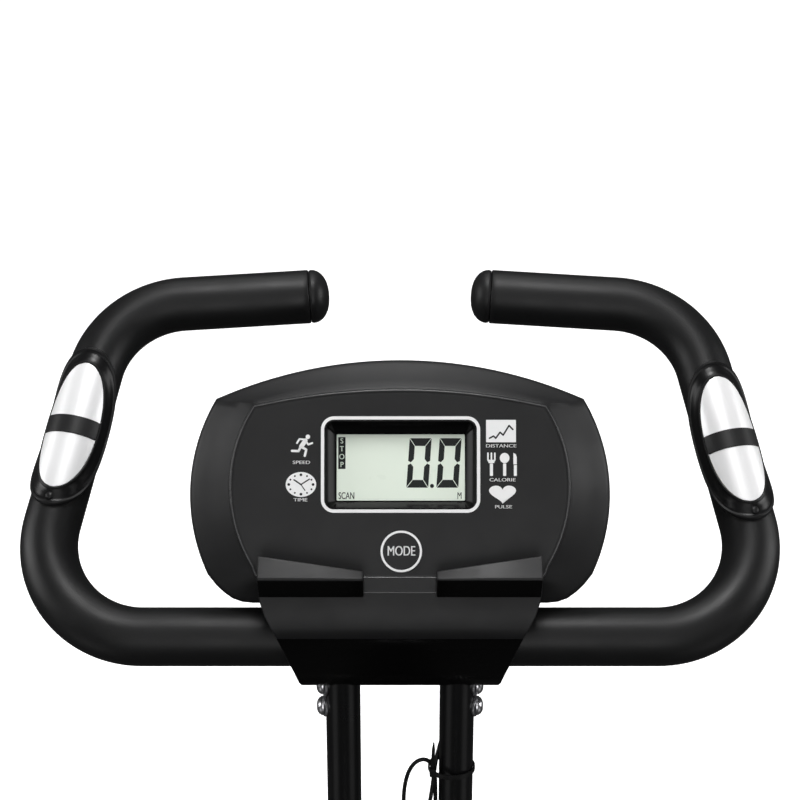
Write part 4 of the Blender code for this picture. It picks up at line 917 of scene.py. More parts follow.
def make_prints():
    n = PRINT_N
    line = band(rectangle(*WINDOW, 8.4, 12), rectangle(*shrunk(WINDOW, WINDOW_LINE), 6.3, 12), n, 0.3)
    piece("window_line", line, "print_white", "rear_frame", sharp=30)
    cx, cv = MODE_AT
    ring = band(ellipse(cx, cv, 13.3, 13.3, 72), ellipse(cx, cv, 11.9, 11.9, 72), 0.36)
    piece("mode_ring", ring, "print_white", "mode_button", sharp=30)
    lettering("mode_word", "MODE", cx, cv, 6.2, 0.36, width=0.72, body="mode_button", bold=0.11)

    make_runner(-62.8, 81.7)
    make_clock(-63.6, 56.7)
    make_graph(64.9, 91.0)
    make_cutlery(65.2, 69.8)
    make_heart(65.8, 50.6)
    for name, text, x, v in (
        ("word_speed", "SPEED", -63.3, 70.8),
        ("word_time", "TIME", -63.9, 46.8),
        ("word_distance", "DISTANCE", 64.9, 81.4),
        ("word_calorie", "CALORIE", 65.8, 59.6),
        ("word_pulse", "PULSE", 66.4, 42.3),
    ):
        lettering(name, text, x, v, 2.1, n, width=1.4, bold=0.05)

    glass_n = GLASS_N - 1.6
    strokes = []
    for centre in (12.3, 31.7):
        strokes += seven_segment(centre, 70.5, 14.2, 32.0, 5.0, 3.6, 0.07)
    strokes.append(ellipse(20.7, 55.6, 1.3, 1.3, 20))
    ink("lcd_digits", strokes, glass_n, "lcd_ink", high=0.05)
    block = rectangle(-40.0, -35.3, 66.6, 87.2, 0.3, 2)
    ink("lcd_stop_block", [block], glass_n, "lcd_ink", high=0.05)
    for k, letter in enumerate("STOP"):
        v = 84.6 - 5.1 * k
        lettering(f"lcd_stop_{k}", letter, -37.65, v, 3.4, glass_n + 0.05, "lcd", 0.9, bold=0.05)
    lettering("lcd_scan", "SCAN", -34.6, 49.1, 4.4, glass_n, "lcd_ink", 0.64, bold=0.05)
    lettering("lcd_m", "M", 38.5, 49.1, 4.4, glass_n, "lcd_ink", 0.64, bold=0.02)


def make_runner(cx, cv):
    """A running figure of plain rounded strokes, leaning forwards."""
    strokes = [ellipse(cx + 3.6, cv + 5.6, 1.45, 1.45, 24)]
    for points, width in (
        ([(2.0, 3.2), (-0.6, -0.6)], 2.9),
        ([(2.0, 3.8), (-1.8, 4.2), (-3.4, 1.6)], 1.2),
        ([(2.2, 2.9), (3.9, 0.6), (6.4, 1.6)], 1.2),
        ([(-0.4, -1.0), (2.6, -2.6), (1.6, -6.6)], 1.5),
        ([(-1.0, -0.8), (-2.4, -3.6), (-6.6, -3.4)], 1.5),
    ):
        strokes += thick_line([(cx + x, cv + v) for x, v in points], width)
    ink("mark_runner", strokes, PRINT_N)


def make_clock(cx, cv):
    ink("mark_clock", [ellipse(cx, cv, 9.8, 8.0, 56)], PRINT_N)
    marks = []
    for k in range(12):
        a = 2 * pi * k / 12
        size = 0.9 if k % 3 == 0 else 0.6
        marks.append(ellipse(cx + 7.8 * sin(a), cv + 6.2 * cos(a), size, size, 12))
    marks += thick_line([(cx - 4.4, cv + 3.0), (cx, cv)], 0.9)
    marks += thick_line([(cx, cv), (cx + 5.4, cv + 3.4)], 0.8)
    marks += thick_line([(cx, cv), (cx + 2.6, cv - 3.8)], 0.6)
    ink("mark_clock_hands", marks, 0.04, "panel_black", high=0.06)


def make_graph(cx, cv):
    ink("mark_graph", [rectangle(cx - 9.6, cx + 9.6, cv - 7.2, cv + 7.2, 0.3, 2)], PRINT_N)
    steps = [(-7.4, -4.6), (-4.8, -3.2), (-3.4, -4.6), (-0.6, -0.8), (1.4, -2.6), (5.2, 3.6), (7.6, 1.0)]
    line = thick_line([(cx + x, cv + v) for x, v in steps], 1.0)
    ink("mark_graph_line", line, 0.04, "panel_black", high=0.06)


def make_cutlery(cx, cv):
    shapes = []
    for offset in (-8.7, -6.5, -4.3):
        shapes += thick_line([(cx + offset, cv + 7.0), (cx + offset, cv + 2.6)], 1.0)
    shapes += [[(cx - 9.2, cv + 2.8), (cx - 8.2, cv + 0.6), (cx - 4.8, cv + 0.6), (cx - 3.8, cv + 2.8)]]
    shapes += [rectangle(cx - 7.5, cx - 5.5, cv - 7.6, cv + 0.4, 0.3, 2)]
    shapes += [ellipse(cx + 2.0, cv + 3.9, 3.1, 3.3, 32)]
    shapes += [rectangle(cx + 1.0, cx + 3.0, cv - 7.6, cv + 0.4, 0.3, 2)]
    blade = [(7.6, -0.2), (9.8, -0.2), (9.8, 4.4), (9.2, 6.4), (7.6, 7.2)]
    shapes += [[(cx + x, cv + v) for x, v in blade]]
    shapes += [rectangle(cx + 7.9, cx + 9.8, cv - 7.6, cv - 0.6, 0.3, 2)]
    ink("mark_cutlery", shapes, PRINT_N)


def make_heart(cx, cv):
    points = []
    for k in range(60):
        t = 2 * pi * k / 60
        x = 16 * sin(t) ** 3
        v = 13 * cos(t) - 5 * cos(2 * t) - 2 * cos(3 * t) - cos(4 * t)
        points.append((cx - x * 0.54, cv + v * 0.40 + 0.6))
    ink("mark_heart", [points], PRINT_N)


# ---------------------------------------------------------------- tablet holder


def make_holder():
    """The skirt below the panel, with two hooked ledges. Its lower face is darker: a darker gloss black
    stands in as painted shade where it faces down.
    """
    rows = [
        (0.6, -2.6, 89.6), (12.2, -11.4, 90.0), (12.7, -18.0, 88.8), (12.5, -26.0, 86.2),
        (11.2, -34.0, 82.2), (8.7, -41.0, 78.4), (-1.0, -49.6, 75.2), (-10.0, -58.0, 72.2),
        (-19.4, -66.0, 69.2), (-28.5, -74.4, 66.2), (-33.5, -76.4, 64.8),
    ]
    deep = 24.0
    thick = 2.2
    outer, inner = [], []
    for k, (n, v, half) in enumerate(rows):
        before, after = rows[max(k - 1, 0)], rows[min(k + 1, len(rows) - 1)]
        along = Vector((after[0] - before[0], after[1] - before[1])).normalized()
        into = Vector((along.y, -along.x))
        if k < 2:
            into = Vector((-0.75, -0.66))
        shares = [-1, -0.5, 0, 0.5, 1]
        back_n = n - deep * (0.35 + 0.65 * min(1, k / 3))
        if k > 6:
            back_n = n - 14
        row = [on_face(-half, v, back_n)] + [on_face(s * half, v, n) for s in shares]
        row.append(on_face(half, v, back_n))
        thin = half - thick
        n_in, v_in = n + into.x * thick, v + into.y * thick
        inside = [on_face(-thin, v, back_n)] + [on_face(s * thin, v_in, n_in) for s in shares]
        inside.append(on_face(thin, v, back_n))
        outer.append(row)
        inner.append(inside)
    bm = slab(inner, outer)
    bmesh.ops.recalc_face_normals(bm, faces=bm.faces)
    # The low, down-facing faces of the skirt take the darker gloss black as painted shade.
    for face in bm.faces:
        centre = face.calc_center_median()
        height = (centre - FACE_ORIGIN).dot(FACE_V)
        if height < -41.5:
            face.material_index = 1
    looks, on, slot = ["satin_black", "dark_gloss"], "rear_frame", "black_plastic"
    piece("holder_skirt", bm, looks, on, ["tablet_holder"], bevel=0.7)
    for side, name in ((-1, "left"), (1, "right")):
        sections = []
        for x, lip, out in ((23.0, 3.0, 0.0), (25.2, 3.6, 0.6), (56.0, 8.2, 1.0), (89.4, 12.9, 1.0)):
            section = [(1.0, -6.0), (2.0, lip - 3.0), (20.5, lip - 0.6), (23.6, lip * 0.45 - 1.2)]
            section += [(25.2 + out, -1.6), (24.9 + out, -3.0), (13.4, -14.4), (6.0, -12.6)]
            sections.append([on_face(side * x, v, n) for n, v in section])
        ledge = lofted(sections)
        bmesh.ops.recalc_face_normals(ledge, faces=ledge.faces)
        # The ledges' down-facing undersides take the darker gloss black as painted shade.
        for face in ledge.faces:
            if face.normal.dot(FACE_V) < -0.3:
                face.material_index = 1
        piece("holder_ledge_" + name, ledge, looks, on, bevel=0.9)


# ---------------------------------------------------------------- frame and feet


def crank_tip(side):
    angle = CRANK_ANGLE if side > 0 else CRANK_ANGLE + pi
    return (CRANK[0] + CRANK_LENGTH * cos(angle), CRANK[1] + CRANK_LENGTH * sin(angle))


def slab_block(centre, half, corner=4.0):
    """A block with rounded upright corners. half is half its size along each axis."""
    axes = (RIGHT, Vector((0, 1, 0)), Vector((0, 0, 1)))
    a, b, c = half
    return prism(rectangle(-a, a, -b, b, corner, 5), centre, axes, -c, c)


def make_main_tube():
    """Smooth skins over the slanted main tube, its collar and the pivot, and the front foot's saddle."""
    on, slot = "main_frame", "black_paint"
    skin = MAIN_R + SKIN
    tube = [(skin, 20), (skin, MAIN_LENGTH - 0.8), (skin - 0.8, MAIN_LENGTH)]
    tube += [(MAIN_BORE_R, MAIN_LENGTH), (MAIN_BORE_R, 20)]
    piece("main_tube", turned(tube, at(0, on_main(0)), MAIN_UP, 64, True), "paint_black", on)
    collar = [(skin, -33.5), (MAIN_R + 2.4, -33), (MAIN_R + 4.2, -31), (MAIN_R + 4.3, -1.5)]
    collar += [(MAIN_R + 3.4, -0.2), (MAIN_R - 2, -0.2), (MAIN_R - 2, -33.5)]
    turned_collar = turned(collar, at(0, on_main(MAIN_LENGTH)), MAIN_UP, 56, True)
    piece("main_collar", turned_collar, "paint_black", on)
    boss_start = at(0, BOSS_AT) - 21 * MAIN_FRONT
    boss = rod(boss_start, boss_start - 17.4 * MAIN_FRONT, 10.3, 40, 0.8)
    piece("pin_boss", boss, "paint_black", on)
    disc = [(20, 19.6), (52.6, 19.6), (54.2, 20.2), (54.2, 20.9), (52.6, 21.5), (20, 21.5)]
    piece("lock_disc", turned(disc, at(0, PIVOT), RIGHT, 72, True), "paint_black", on)
    bush = [(7.0, -23.4), (11.4, -23.4), (12.3, -22.6), (12.3, 22.6), (11.4, 23.4), (7.0, 23.4)]
    piece("pivot_bush", turned(bush, at(0, PIVOT), RIGHT, 40, True), "paint_black", on)
    saddle = slab_block(at(0, (FRONT_FOOT[0], 62.2)), (42.3, 28.3, 8.3), corner=6)
    piece("front_saddle", saddle, "paint_black", on, bevel=1.5)
    for x in (-31, 31):
        for y in (-16, 16):
            make_cap_bolt(f"saddle_bolt_{'l' if x < 0 else 'r'}_{'b' if y < 0 else 'f'}",
                          at(x, (FRONT_FOOT[0] + y, 70.5)), Vector((0, 0, 1)), 5.5, on)


def make_cap_bolt(name, base, axis, radius, on):
    """A domed bolt head with a socket, standing on a washer."""
    r = radius
    head = [(0, 0), (r * 1.45, 0), (r * 1.45, 1.2), (r * 1.05, 1.4), (r, 1.8), (r * 0.97, 3.0)]
    head += [(r * 0.8, 4.2), (r * 0.5, 4.8), (r * 0.42, 4.8), (r * 0.42, 2.6), (0, 2.6)]
    piece(name, turned(head, base, axis, 32), "zinc", on)


def make_foot(end, place, on):
    """A stabiliser tube, with end caps that stand on the floor on a ribbed flat."""
    tube = [(FOOT_R - 2, -FOOT_HALF), (FOOT_R, -FOOT_HALF), (FOOT_R, FOOT_HALF), (FOOT_R - 2, FOOT_HALF)]
    bar = turned(tube, at(0, place), RIGHT, 64, True)
    piece(end + "_foot", bar, "paint_black", on, [end + "_stabilizer"])
    for side, name in ((-1, "left"), (1, "right")):
        profile = [(0, 0.4), (CAP_R - 3.4, 0.4), (CAP_R - 1.2, 1.6), (CAP_R, 4.4), (CAP_R, 11)]
        profile += [(CAP_R - 0.9, 11.6), (CAP_R - 0.9, 12.8), (CAP_R, 13.4), (CAP_R, 24)]
        profile += [(CAP_R - 1.0, 27.2), (CAP_R - 3.4, 30), (CAP_R - 8, 32), (CAP_R - 16, 33), (0, 33)]
        cup = turned(profile, at(side * FOOT_HALF, place), side * RIGHT, 72)
        cap = piece(f"{end}_cap_{name}_shell", cup, "cap_black", on, [f"{end}_cap_{name}"])
        below = slab_block(at(side * (FOOT_HALF + 16), (place[0], -40)), (40, 60, 40))
        cutters = [below]
        if end == "front":
            middle = side * (FOOT_HALF + WHEEL_OUT)
            cutters.append(slab_block(at(middle, (WHEEL[0] + 11, WHEEL[1] - 3)), (5.7, 30, 30), corner=1))
        cut(cap, *cutters)
        soften(cap, 0.7, 2)
        if end == "front":
            make_wheel(name, at(middle, WHEEL))


def make_wheel(name, middle):
    """A transport wheel with a rubber tread and a hub."""
    r = WHEEL_R
    tread = [(r - 5, -4.4), (r - 1.4, -4.4), (r - 0.3, -3.4), (r, -1.4), (r, 1.4), (r - 0.3, 3.4)]
    tread += [(r - 1.4, 4.4), (r - 5, 4.4), (r - 5.4, 2.8), (5.5, 2.8), (5.2, 4.3), (3.0, 4.3)]
    tread += [(3.0, -4.3), (5.2, -4.3), (5.5, -2.8), (r - 5.4, -2.8)]
    wheel = turned(tread, middle, RIGHT, 48, True)
    replaced = ["transport_wheel_" + name]
    piece("wheel_tread_" + name, wheel, "rubber_black", "wheel_" + name, replaced)


def rear_tube_path(side):
    x = side * POST_HALF_SPACING
    corners = [at(x, REAR_START), at(x, BEND), at(x, REAR_TOP)]
    return rounded_path(corners, [REAR_BEND_R], radians(1.5), 12.0)


def make_rear_frame():
    on, slot = "rear_frame", "black_paint"
    for side, name in ((-1, "left"), (1, "right")):
        path = rear_tube_path(side)
        tube = lofted(rings_along(path, [REAR_TUBE_R + SKIN] * len(path), 48))
        piece("rear_tube_" + name, tube, "paint_black", on)
        sleeve = [(POST_R + 0.3, -14), (REAR_TUBE_R + 1.6, -14), (REAR_TUBE_R + 2.2, -12.8)]
        sleeve += [(REAR_TUBE_R + 2.2, 1.0), (REAR_TUBE_R + 1.2, 2.6), (POST_R + 1.4, 3.4)]
        sleeve += [(POST_R + 0.3, 3.2)]
        spot = at(side * POST_HALF_SPACING, REAR_TOP)
        piece("socket_sleeve_" + name, turned(sleeve, spot, POST_UP, 48, True), "cap_black", on)
        make_cap_bolt("socket_bolt_" + name, spot - 42 * POST_UP + side * (REAR_TUBE_R + 0.2) * RIGHT,
                      side * RIGHT, 5.0, on)
    for name, spot in (("low", on_rear(-440, 0)), ("high", HIGH_BRACE)):
        half = (POST_HALF_SPACING - 6) * RIGHT
        piece(name + "_brace", rod(spot - half, spot + half, 9.3, 40), "paint_black", on)
    saddle = slab_block(at(0, (REAR_FOOT[0] + 6, 62.2)), (56.3, 25.3, 7.3), corner=6)
    piece("rear_saddle", saddle, "paint_black", on, bevel=1.5)
    for x in (-20, 20):
        make_cap_bolt("rear_saddle_bolt_" + ("left" if x < 0 else "right"),
                      at(x, (REAR_FOOT[0] + 6, 69.5)), Vector((0, 0, 1)), 5.5, on)


def make_pivot_bolt():
    """A bolt through the pivot, with a washer and a hexagon head at each end."""
    for side, name in ((-1, "left"), (1, "right")):
        start = at(0, PIVOT)
        washer = [(6.2, 52.4), (13.4, 52.4), (13.6, 52.8), (13.6, 54.2), (13.2, 54.6), (6.2, 54.6)]
        flat = turned(washer, start, side * RIGHT, 48, True)
        piece("pivot_washer_" + name, flat, "zinc", "main_frame")
        head = [(0, 54.4), (10.2, 54.4), (10.2, 58.2), (9.4, 59.2), (0, 59.4)]
        hexagon = turned(head, start, side * RIGHT, 6)
        piece("pivot_head_" + name, hexagon, "zinc", "main_frame", bevel=0.6, sharp=20)
    shank = rod(at(-54, PIVOT), at(54, PIVOT), 5.9, 32)
    piece("pivot_shank", shank, "zinc", "main_frame", ["pivot_bolt"])


def lobed(origin, axes, steps, lobes, depth):
    """A knob with a wavy rim. Steps are (radius, height along the axis)."""
    around = 96
    first, second, axis = axes
    rings = []
    for radius, height in steps:
        centre = Vector(origin) + height * axis
        ring = []
        for k in range(around):
            a = 2 * pi * k / around
            wave = radius + depth * cos(lobes * a) * min(1, radius / 12)
            ring.append(centre + wave * (cos(a) * first + sin(a) * second))
        rings.append(ring)
    return lofted(rings)


def make_tension_knob():
    """The knob that sets the brake, on its plate between the two posts."""
    middle = on_post(0, KNOB_BELOW)
    axes = (RIGHT, POST_UP, POST_BACK)
    half = POST_HALF_SPACING - 6.0
    plate = prism(rectangle(-half, half, -28, 28, 3, 5), middle, axes, -2.2, 2.2)
    made = piece("knob_plate", plate, "paint_black", "rear_frame", bevel=0.6)
    cut(made, rod(middle - 9 * POST_BACK, middle + 9 * POST_BACK, 6, 40))
    stem = turned([(0, -14), (5.6, -14), (5.6, 2.6), (13, 2.6), (13, 9.6), (0, 9.6)], middle, POST_BACK, 48)
    on, slot = "tension_knob", "black_plastic"
    piece("knob_stem", stem, "cap_black", on, ["tension_knob"])
    steps = [(17.5, 9.3), (20.0, 9.7), (21.0, 11.0), (21.0, 26), (20.4, 28.4), (18.6, 30.2), (15.5, 31)]
    piece("knob_grip", lobed(middle, axes, steps, 8, 1.8), "cap_black", on)
    pointer = prism(rectangle(-1.4, 1.4, 3, 19, 1.3, 4), middle, axes, 30.6, 31.8)
    piece("knob_pointer", pointer, "print_white", on, bevel=0.3)
    marks = []
    for k in range(8):
        angle = radians(-60 + 30 * k) + pi / 2
        near = (24.4 * cos(angle), 24.4 * sin(angle))
        far = (26.6 * cos(angle), 26.6 * sin(angle))
        if abs(far[0]) < half - 1 and abs(far[1]) < 27:
            marks.append(capsule(near, 0.6, far, 0.599, 6))
    scale = bmesh.new()
    for outline in marks:
        flat = [middle + x * RIGHT + v * POST_UP for x, v in outline]
        add_prism(scale, [p + 2.15 * POST_BACK for p in flat], [p + 2.4 * POST_BACK for p in flat])
    piece("knob_scale", scale, "print_white", "rear_frame")


def make_pins():
    """The seat's pull pin and the folding lock's pull pin: a steel pin, a sleeve and a ribbed knob."""
    for body, start, axis, tip, grip in (
        ("seat_pin", at(0, BOSS_AT), -MAIN_FRONT, 20.0, 40.0),
        ("fold_lock_pin", on_rear(LOCK_AT, 0), RIGHT, 22.2, 60.0),
    ):
        first, second = frame_of(axis)
        shank = [(0, tip), (4.4, tip), (5.0, tip + 1), (5.0, grip), (0, grip)]
        piece(body + "_shank", turned(shank, start, axis, 40), "zinc", body)
        profile = [(0, 0.2), (7.2, 0.2), (7.6, 1.0), (7.6, 6), (10.5, 7.2), (0, 7.6)]
        sleeve = [(radius, grip + height) for radius, height in profile]
        piece(body + "_sleeve", turned(sleeve, start, axis, 40), "cap_black", body)
        steps = [(9.6, 6.8), (14.2, 8.2), (16.2, 10.6), (17, 14), (17, 20), (16.4, 25), (14.6, 29.6)]
        steps += [(11, 32.8), (6, 34.4)]
        knob = [(radius, grip + height) for radius, height in steps]
        piece(body + "_knob", lobed(start, (first, second, Vector(axis)), knob, 6, 1.0), "cap_black", body,
              [body])


def make_bar():
    """A smooth skin over the bare middle of the lower handlebar."""
    w = LOOP_LOW_CORNER[1]
    bar = rod(on_loop(-72, w), on_loop(72, w), BAR_R + SKIN, 56)
    piece("bar_middle", bar, "paint_black", "rear_frame")


# ---------------------------------------------------------------- cables


def smooth_route(points, steps):
    """A smooth curve through a few points."""
    points = [Vector(p) for p in points]
    line = []
    for k in range(len(points) - 1):
        a, b = points[max(k - 1, 0)], points[k]
        c, d = points[k + 1], points[min(k + 2, len(points) - 1)]
        for i in range(steps):
            t = i / steps
            square, cube = 2 * a - 5 * b + 4 * c - d, 3 * b - a - 3 * c + d
            line.append(0.5 * (2 * b + (c - a) * t + square * t**2 + cube * t**3))
    return line + [points[-1]]


def sensor_cable_route():
    """From the console's back, down behind the right post, round the tied slack loop and to the housing."""
    inner = POST_HALF_SPACING - POST_R - CABLE_R - 0.6
    return [
        on_face(25, -4, -56.2),
        on_face(25.5, -12, -66),
        on_post(28, 8, -30),
        on_post(31, 38, -21),
        on_post(33.5, 62, -14.6),
        on_post(29.5, 82, -11.8),
        on_post(inner - 0.4, 96, -3),
        on_post(22.4, 114, 3),
        on_post(18, 138, 6),
        on_post(15.6, 154, 6.5),
        on_post(15.2, 165, 6.5),
        on_post(13.8, 168.9, 6.5),
        on_post(10.6, 171.3, 6.5),
        on_post(6.7, 171.3, 6.5),
        on_post(3.5, 168.9, 6.5),
        on_post(2.2, 165, 6.5),
        on_post(2.2, 152, 6.2),
        on_post(2.4, 128, 6),
        on_post(2.8, 111, 6),
        on_post(6.6, 96.5, 5.8),
        on_post(13, 90.6, 5.0),
        on_post(19.4, 91.4, 4.2),
        on_post(inner - 0.8, 100, 3.4),
        on_post(inner - 0.2, 116, 2.4),
        on_post(inner, 150, 0),
        on_post(inner, 190, 0),
        on_post(inner - 1, 240, -4),
        on_post(22, 290, -16),
        on_post(16, 345, -22),
        on_post(11, 400, -38),
        at(10, (128, 592)),
        at(10, (142, 586.5)),
    ]


def eased(line, rounds):
    """A line with its tight bends opened, between the same two ends."""
    for _ in range(rounds):
        middle = [(a + 2 * b + c) / 4 for a, b, c in zip(line, line[1:], line[2:])]
        line = [line[0]] + middle + [line[-1]]
    return line


def make_cable(name, route, radius, rounds):
    """A cable between the two folding frames."""
    line = eased(smooth_route(route, 6), rounds)
    tube = lofted(rings_along(line, [radius] * len(line), 20))
    made = piece(name + "_jacket", tube, "cable_black", "rear_frame", [name])
    made.parent = None  # it stands free of the bodies, in place
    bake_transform(made)


def make_cables():
    sensor = sensor_cable_route()
    make_cable("sensor_cable", sensor, CABLE_R, 16)
    tension = [
        on_post(0, KNOB_BELOW + 2, -17.5),
        on_post(0, KNOB_BELOW + 26, -26),
        on_post(0, KNOB_BELOW + 70, -34),
        at(0, (110, 586)),
        at(0, (135, 579)),
        at(0, (147, 571)),
    ]
    make_cable("tension_cable", tension, TENSION_CABLE_R, 60)
    make_tie()


def make_tie():
    """The tie that holds the slack of the sensor cable to the post: a band, its head and its tail."""
    middle = on_post(POST_HALF_SPACING - 3.0, TIE_BELOW + 3, 0.6)
    half_x, half_y = POST_R + 3.9, POST_R + 1.8
    sections = []
    for k in range(64):
        a = 2 * pi * k / 64
        out = Vector((cos(a), sin(a)))
        section = []
        for depth, up in ((-0.5, -1.7), (0.5, -1.7), (0.6, 0), (0.5, 1.7), (-0.5, 1.7), (-0.6, 0)):
            x, back = (half_x + depth) * out.x, (half_y + depth) * out.y
            section.append(middle + x * RIGHT + back * POST_BACK + up * POST_UP)
        sections.append(section)
    on, slot = "rear_frame", "black_plastic"
    piece("tie_band", lofted(sections, closed=True), "cable_black", on, ["cable_tie"], sharp=50)
    head_at = middle - (half_x - 2.4) * RIGHT + 6.5 * POST_BACK
    axes = (RIGHT, POST_UP, POST_BACK)
    head = prism(rectangle(-2.0, 2.0, -3.0, 3.0, 1, 4), head_at, axes, -2.4, 2.4)
    piece("tie_head", head, "cable_black", on, bevel=0.5)
    tail = []
    for k in range(9):
        share = k / 8
        centre = head_at + (2 + 21 * share) * POST_UP
        centre += 0.8 * share * RIGHT + 0.8 * sin(pi * share) * POST_BACK
        wide = 1.15 - 0.75 * max(0, share - 0.75) / 0.25
        section = ((-wide, -0.5), (wide, -0.5), (wide, 0.5), (-wide, 0.5))
        tail.append([centre + x * RIGHT + back * POST_BACK for x, back in section])
    piece("tie_tail", lofted(tail), "cable_black", on)


# ---------------------------------------------------------------- drive


def cup_of(outer_rings, inner_rings):
    """A hollow cup between outer rings and inner rings, closed at its rim."""
    bm = bmesh.new()
    loops = [[bm.verts.new(p) for p in ring] for ring in outer_rings + inner_rings]
    split = len(outer_rings)
    for k in range(len(loops) - 1):
        if k != split - 1:
            bridge(bm, loops[k], loops[k + 1])
    bm.faces.new(loops[split - 1])
    bm.faces.new(loops[split])
    bridge(bm, loops[-1], loops[0])
    return bm


def make_housing():
    """The two moulded halves of the drive's cover, with a sunk panel, a boss at the crank and screws."""
    outline = capsule(CRANK, HOUSING_CRANK_R, FLYWHEEL, HOUSING_FLYWHEEL_R, 44)
    on = "main_frame"
    for side, name in ((-1, "left"), (1, "right")):

        def ring(by, x):
            return [at(side * x, p) for p in inset(outline, by)]

        steps = [(0.8, 0.25), (0.2, 0.7), (0, 1.6), (0, 26), (0.5, 29.6), (1.8, 32.8), (4.2, 35.8)]
        steps += [(7.6, 38.2), (11.8, 39.6), (16.5, 40.0), (22.0, 40.0), (23.0, 39.4), (23.6, 38.2)]
        steps += [(24.6, 37.8), (30, 37.8)]
        inner = [(30, 35.2), (13, 35.2), (5.5, 32), (2.6, 26), (2.6, 0.25)]
        shell = cup_of([ring(*step) for step in steps], [ring(*step) for step in inner])
        replaced = ["housing_" + name]
        made = piece("housing_shell_" + name, shell, "housing_black", on, replaced)
        cut(
            made,
            rod(at(0, on_main(60)), at(0, on_main(480)), MAIN_R + 1.6, 64),
            rod(at(-60, CRANK), at(60, CRANK), 16, 64),
            rod(at(0, (135, 592)), at(0, (162, 545)), 4.6, 32),
        )
        boss = [(17, 37.2), (36, 37.2), (36, 38.6), (34.6, 39.8), (31, 40.6), (28.6, 40.6), (27.6, 39.8)]
        boss += [(20.6, 39.8), (19.6, 40.6), (17, 40.6)]
        piece("housing_boss_" + name, turned(boss, at(0, CRANK), side * RIGHT, 72, True), "cap_black", on)
        hub = [(0, 37.2), (30, 37.2), (30, 38.4), (29, 39.0), (27, 39.2), (0, 39.2)]
        piece("housing_disc_" + name, turned(hub, at(0, FLYWHEEL), side * RIGHT, 72), "cap_black", on,
              bevel=0.3)
        for k, spot in enumerate(inset(outline, 15)[4::16]):
            head = [(0, 39.2), (3.4, 39.2), (3.6, 40.0), (3.4, 40.6), (2.4, 41.1), (1.4, 41.2), (1.3, 40.2)]
            head.append((0, 40.2))
            screw = turned(head, at(0, spot), side * RIGHT, 24)
            piece(f"housing_screw_{name}_{k}", screw, "zinc", on)


def make_cranks():
    for side, name in ((-1, "left"), (1, "right")):
        tip = crank_tip(side)
        steps = ((1.6, 44.0), (0.2, 45.4), (0, 47.0), (0, 53.0), (0.4, 54.6), (1.8, 56.0), (4.6, 56.2))
        outline = capsule(CRANK, 16, tip, 12, 28)
        rings = [[at(side * x, p) for p in inset(outline, by)] for by, x in steps]
        on = "crank"
        arm = lofted(rings)
        piece("crank_arm_cover_" + name, arm, "paint_black", on, ["crank_arm_" + name])
        cap = [(0, 55.4), (11.4, 55.4), (11.6, 56.4), (11.2, 58.6), (9.6, 60.6), (6.0, 61.8), (0, 62.0)]
        dome = turned(cap, at(0, CRANK), side * RIGHT, 48)
        piece("crank_cap_" + name, dome, "cap_black", on)
        axle = [(CRANK_AXLE_R, 37.6), (10.6, 37.6), (11, 38.2), (11, 43.6), (CRANK_AXLE_R, 43.6)]
        piece("axle_nut_" + name, turned(axle, at(0, CRANK), side * RIGHT, 48, True), "zinc", on)
        hexagon = [(0, 54.8), (9.4, 54.8), (9.4, 60.4), (8.8, 60.9), (0, 60.9)]
        flats = turned(hexagon, at(0, tip), side * RIGHT, 6)
        piece("spindle_flat_" + name, flats, "zinc", on, bevel=0.4, sharp=20)
        make_pedal(side, name, tip)


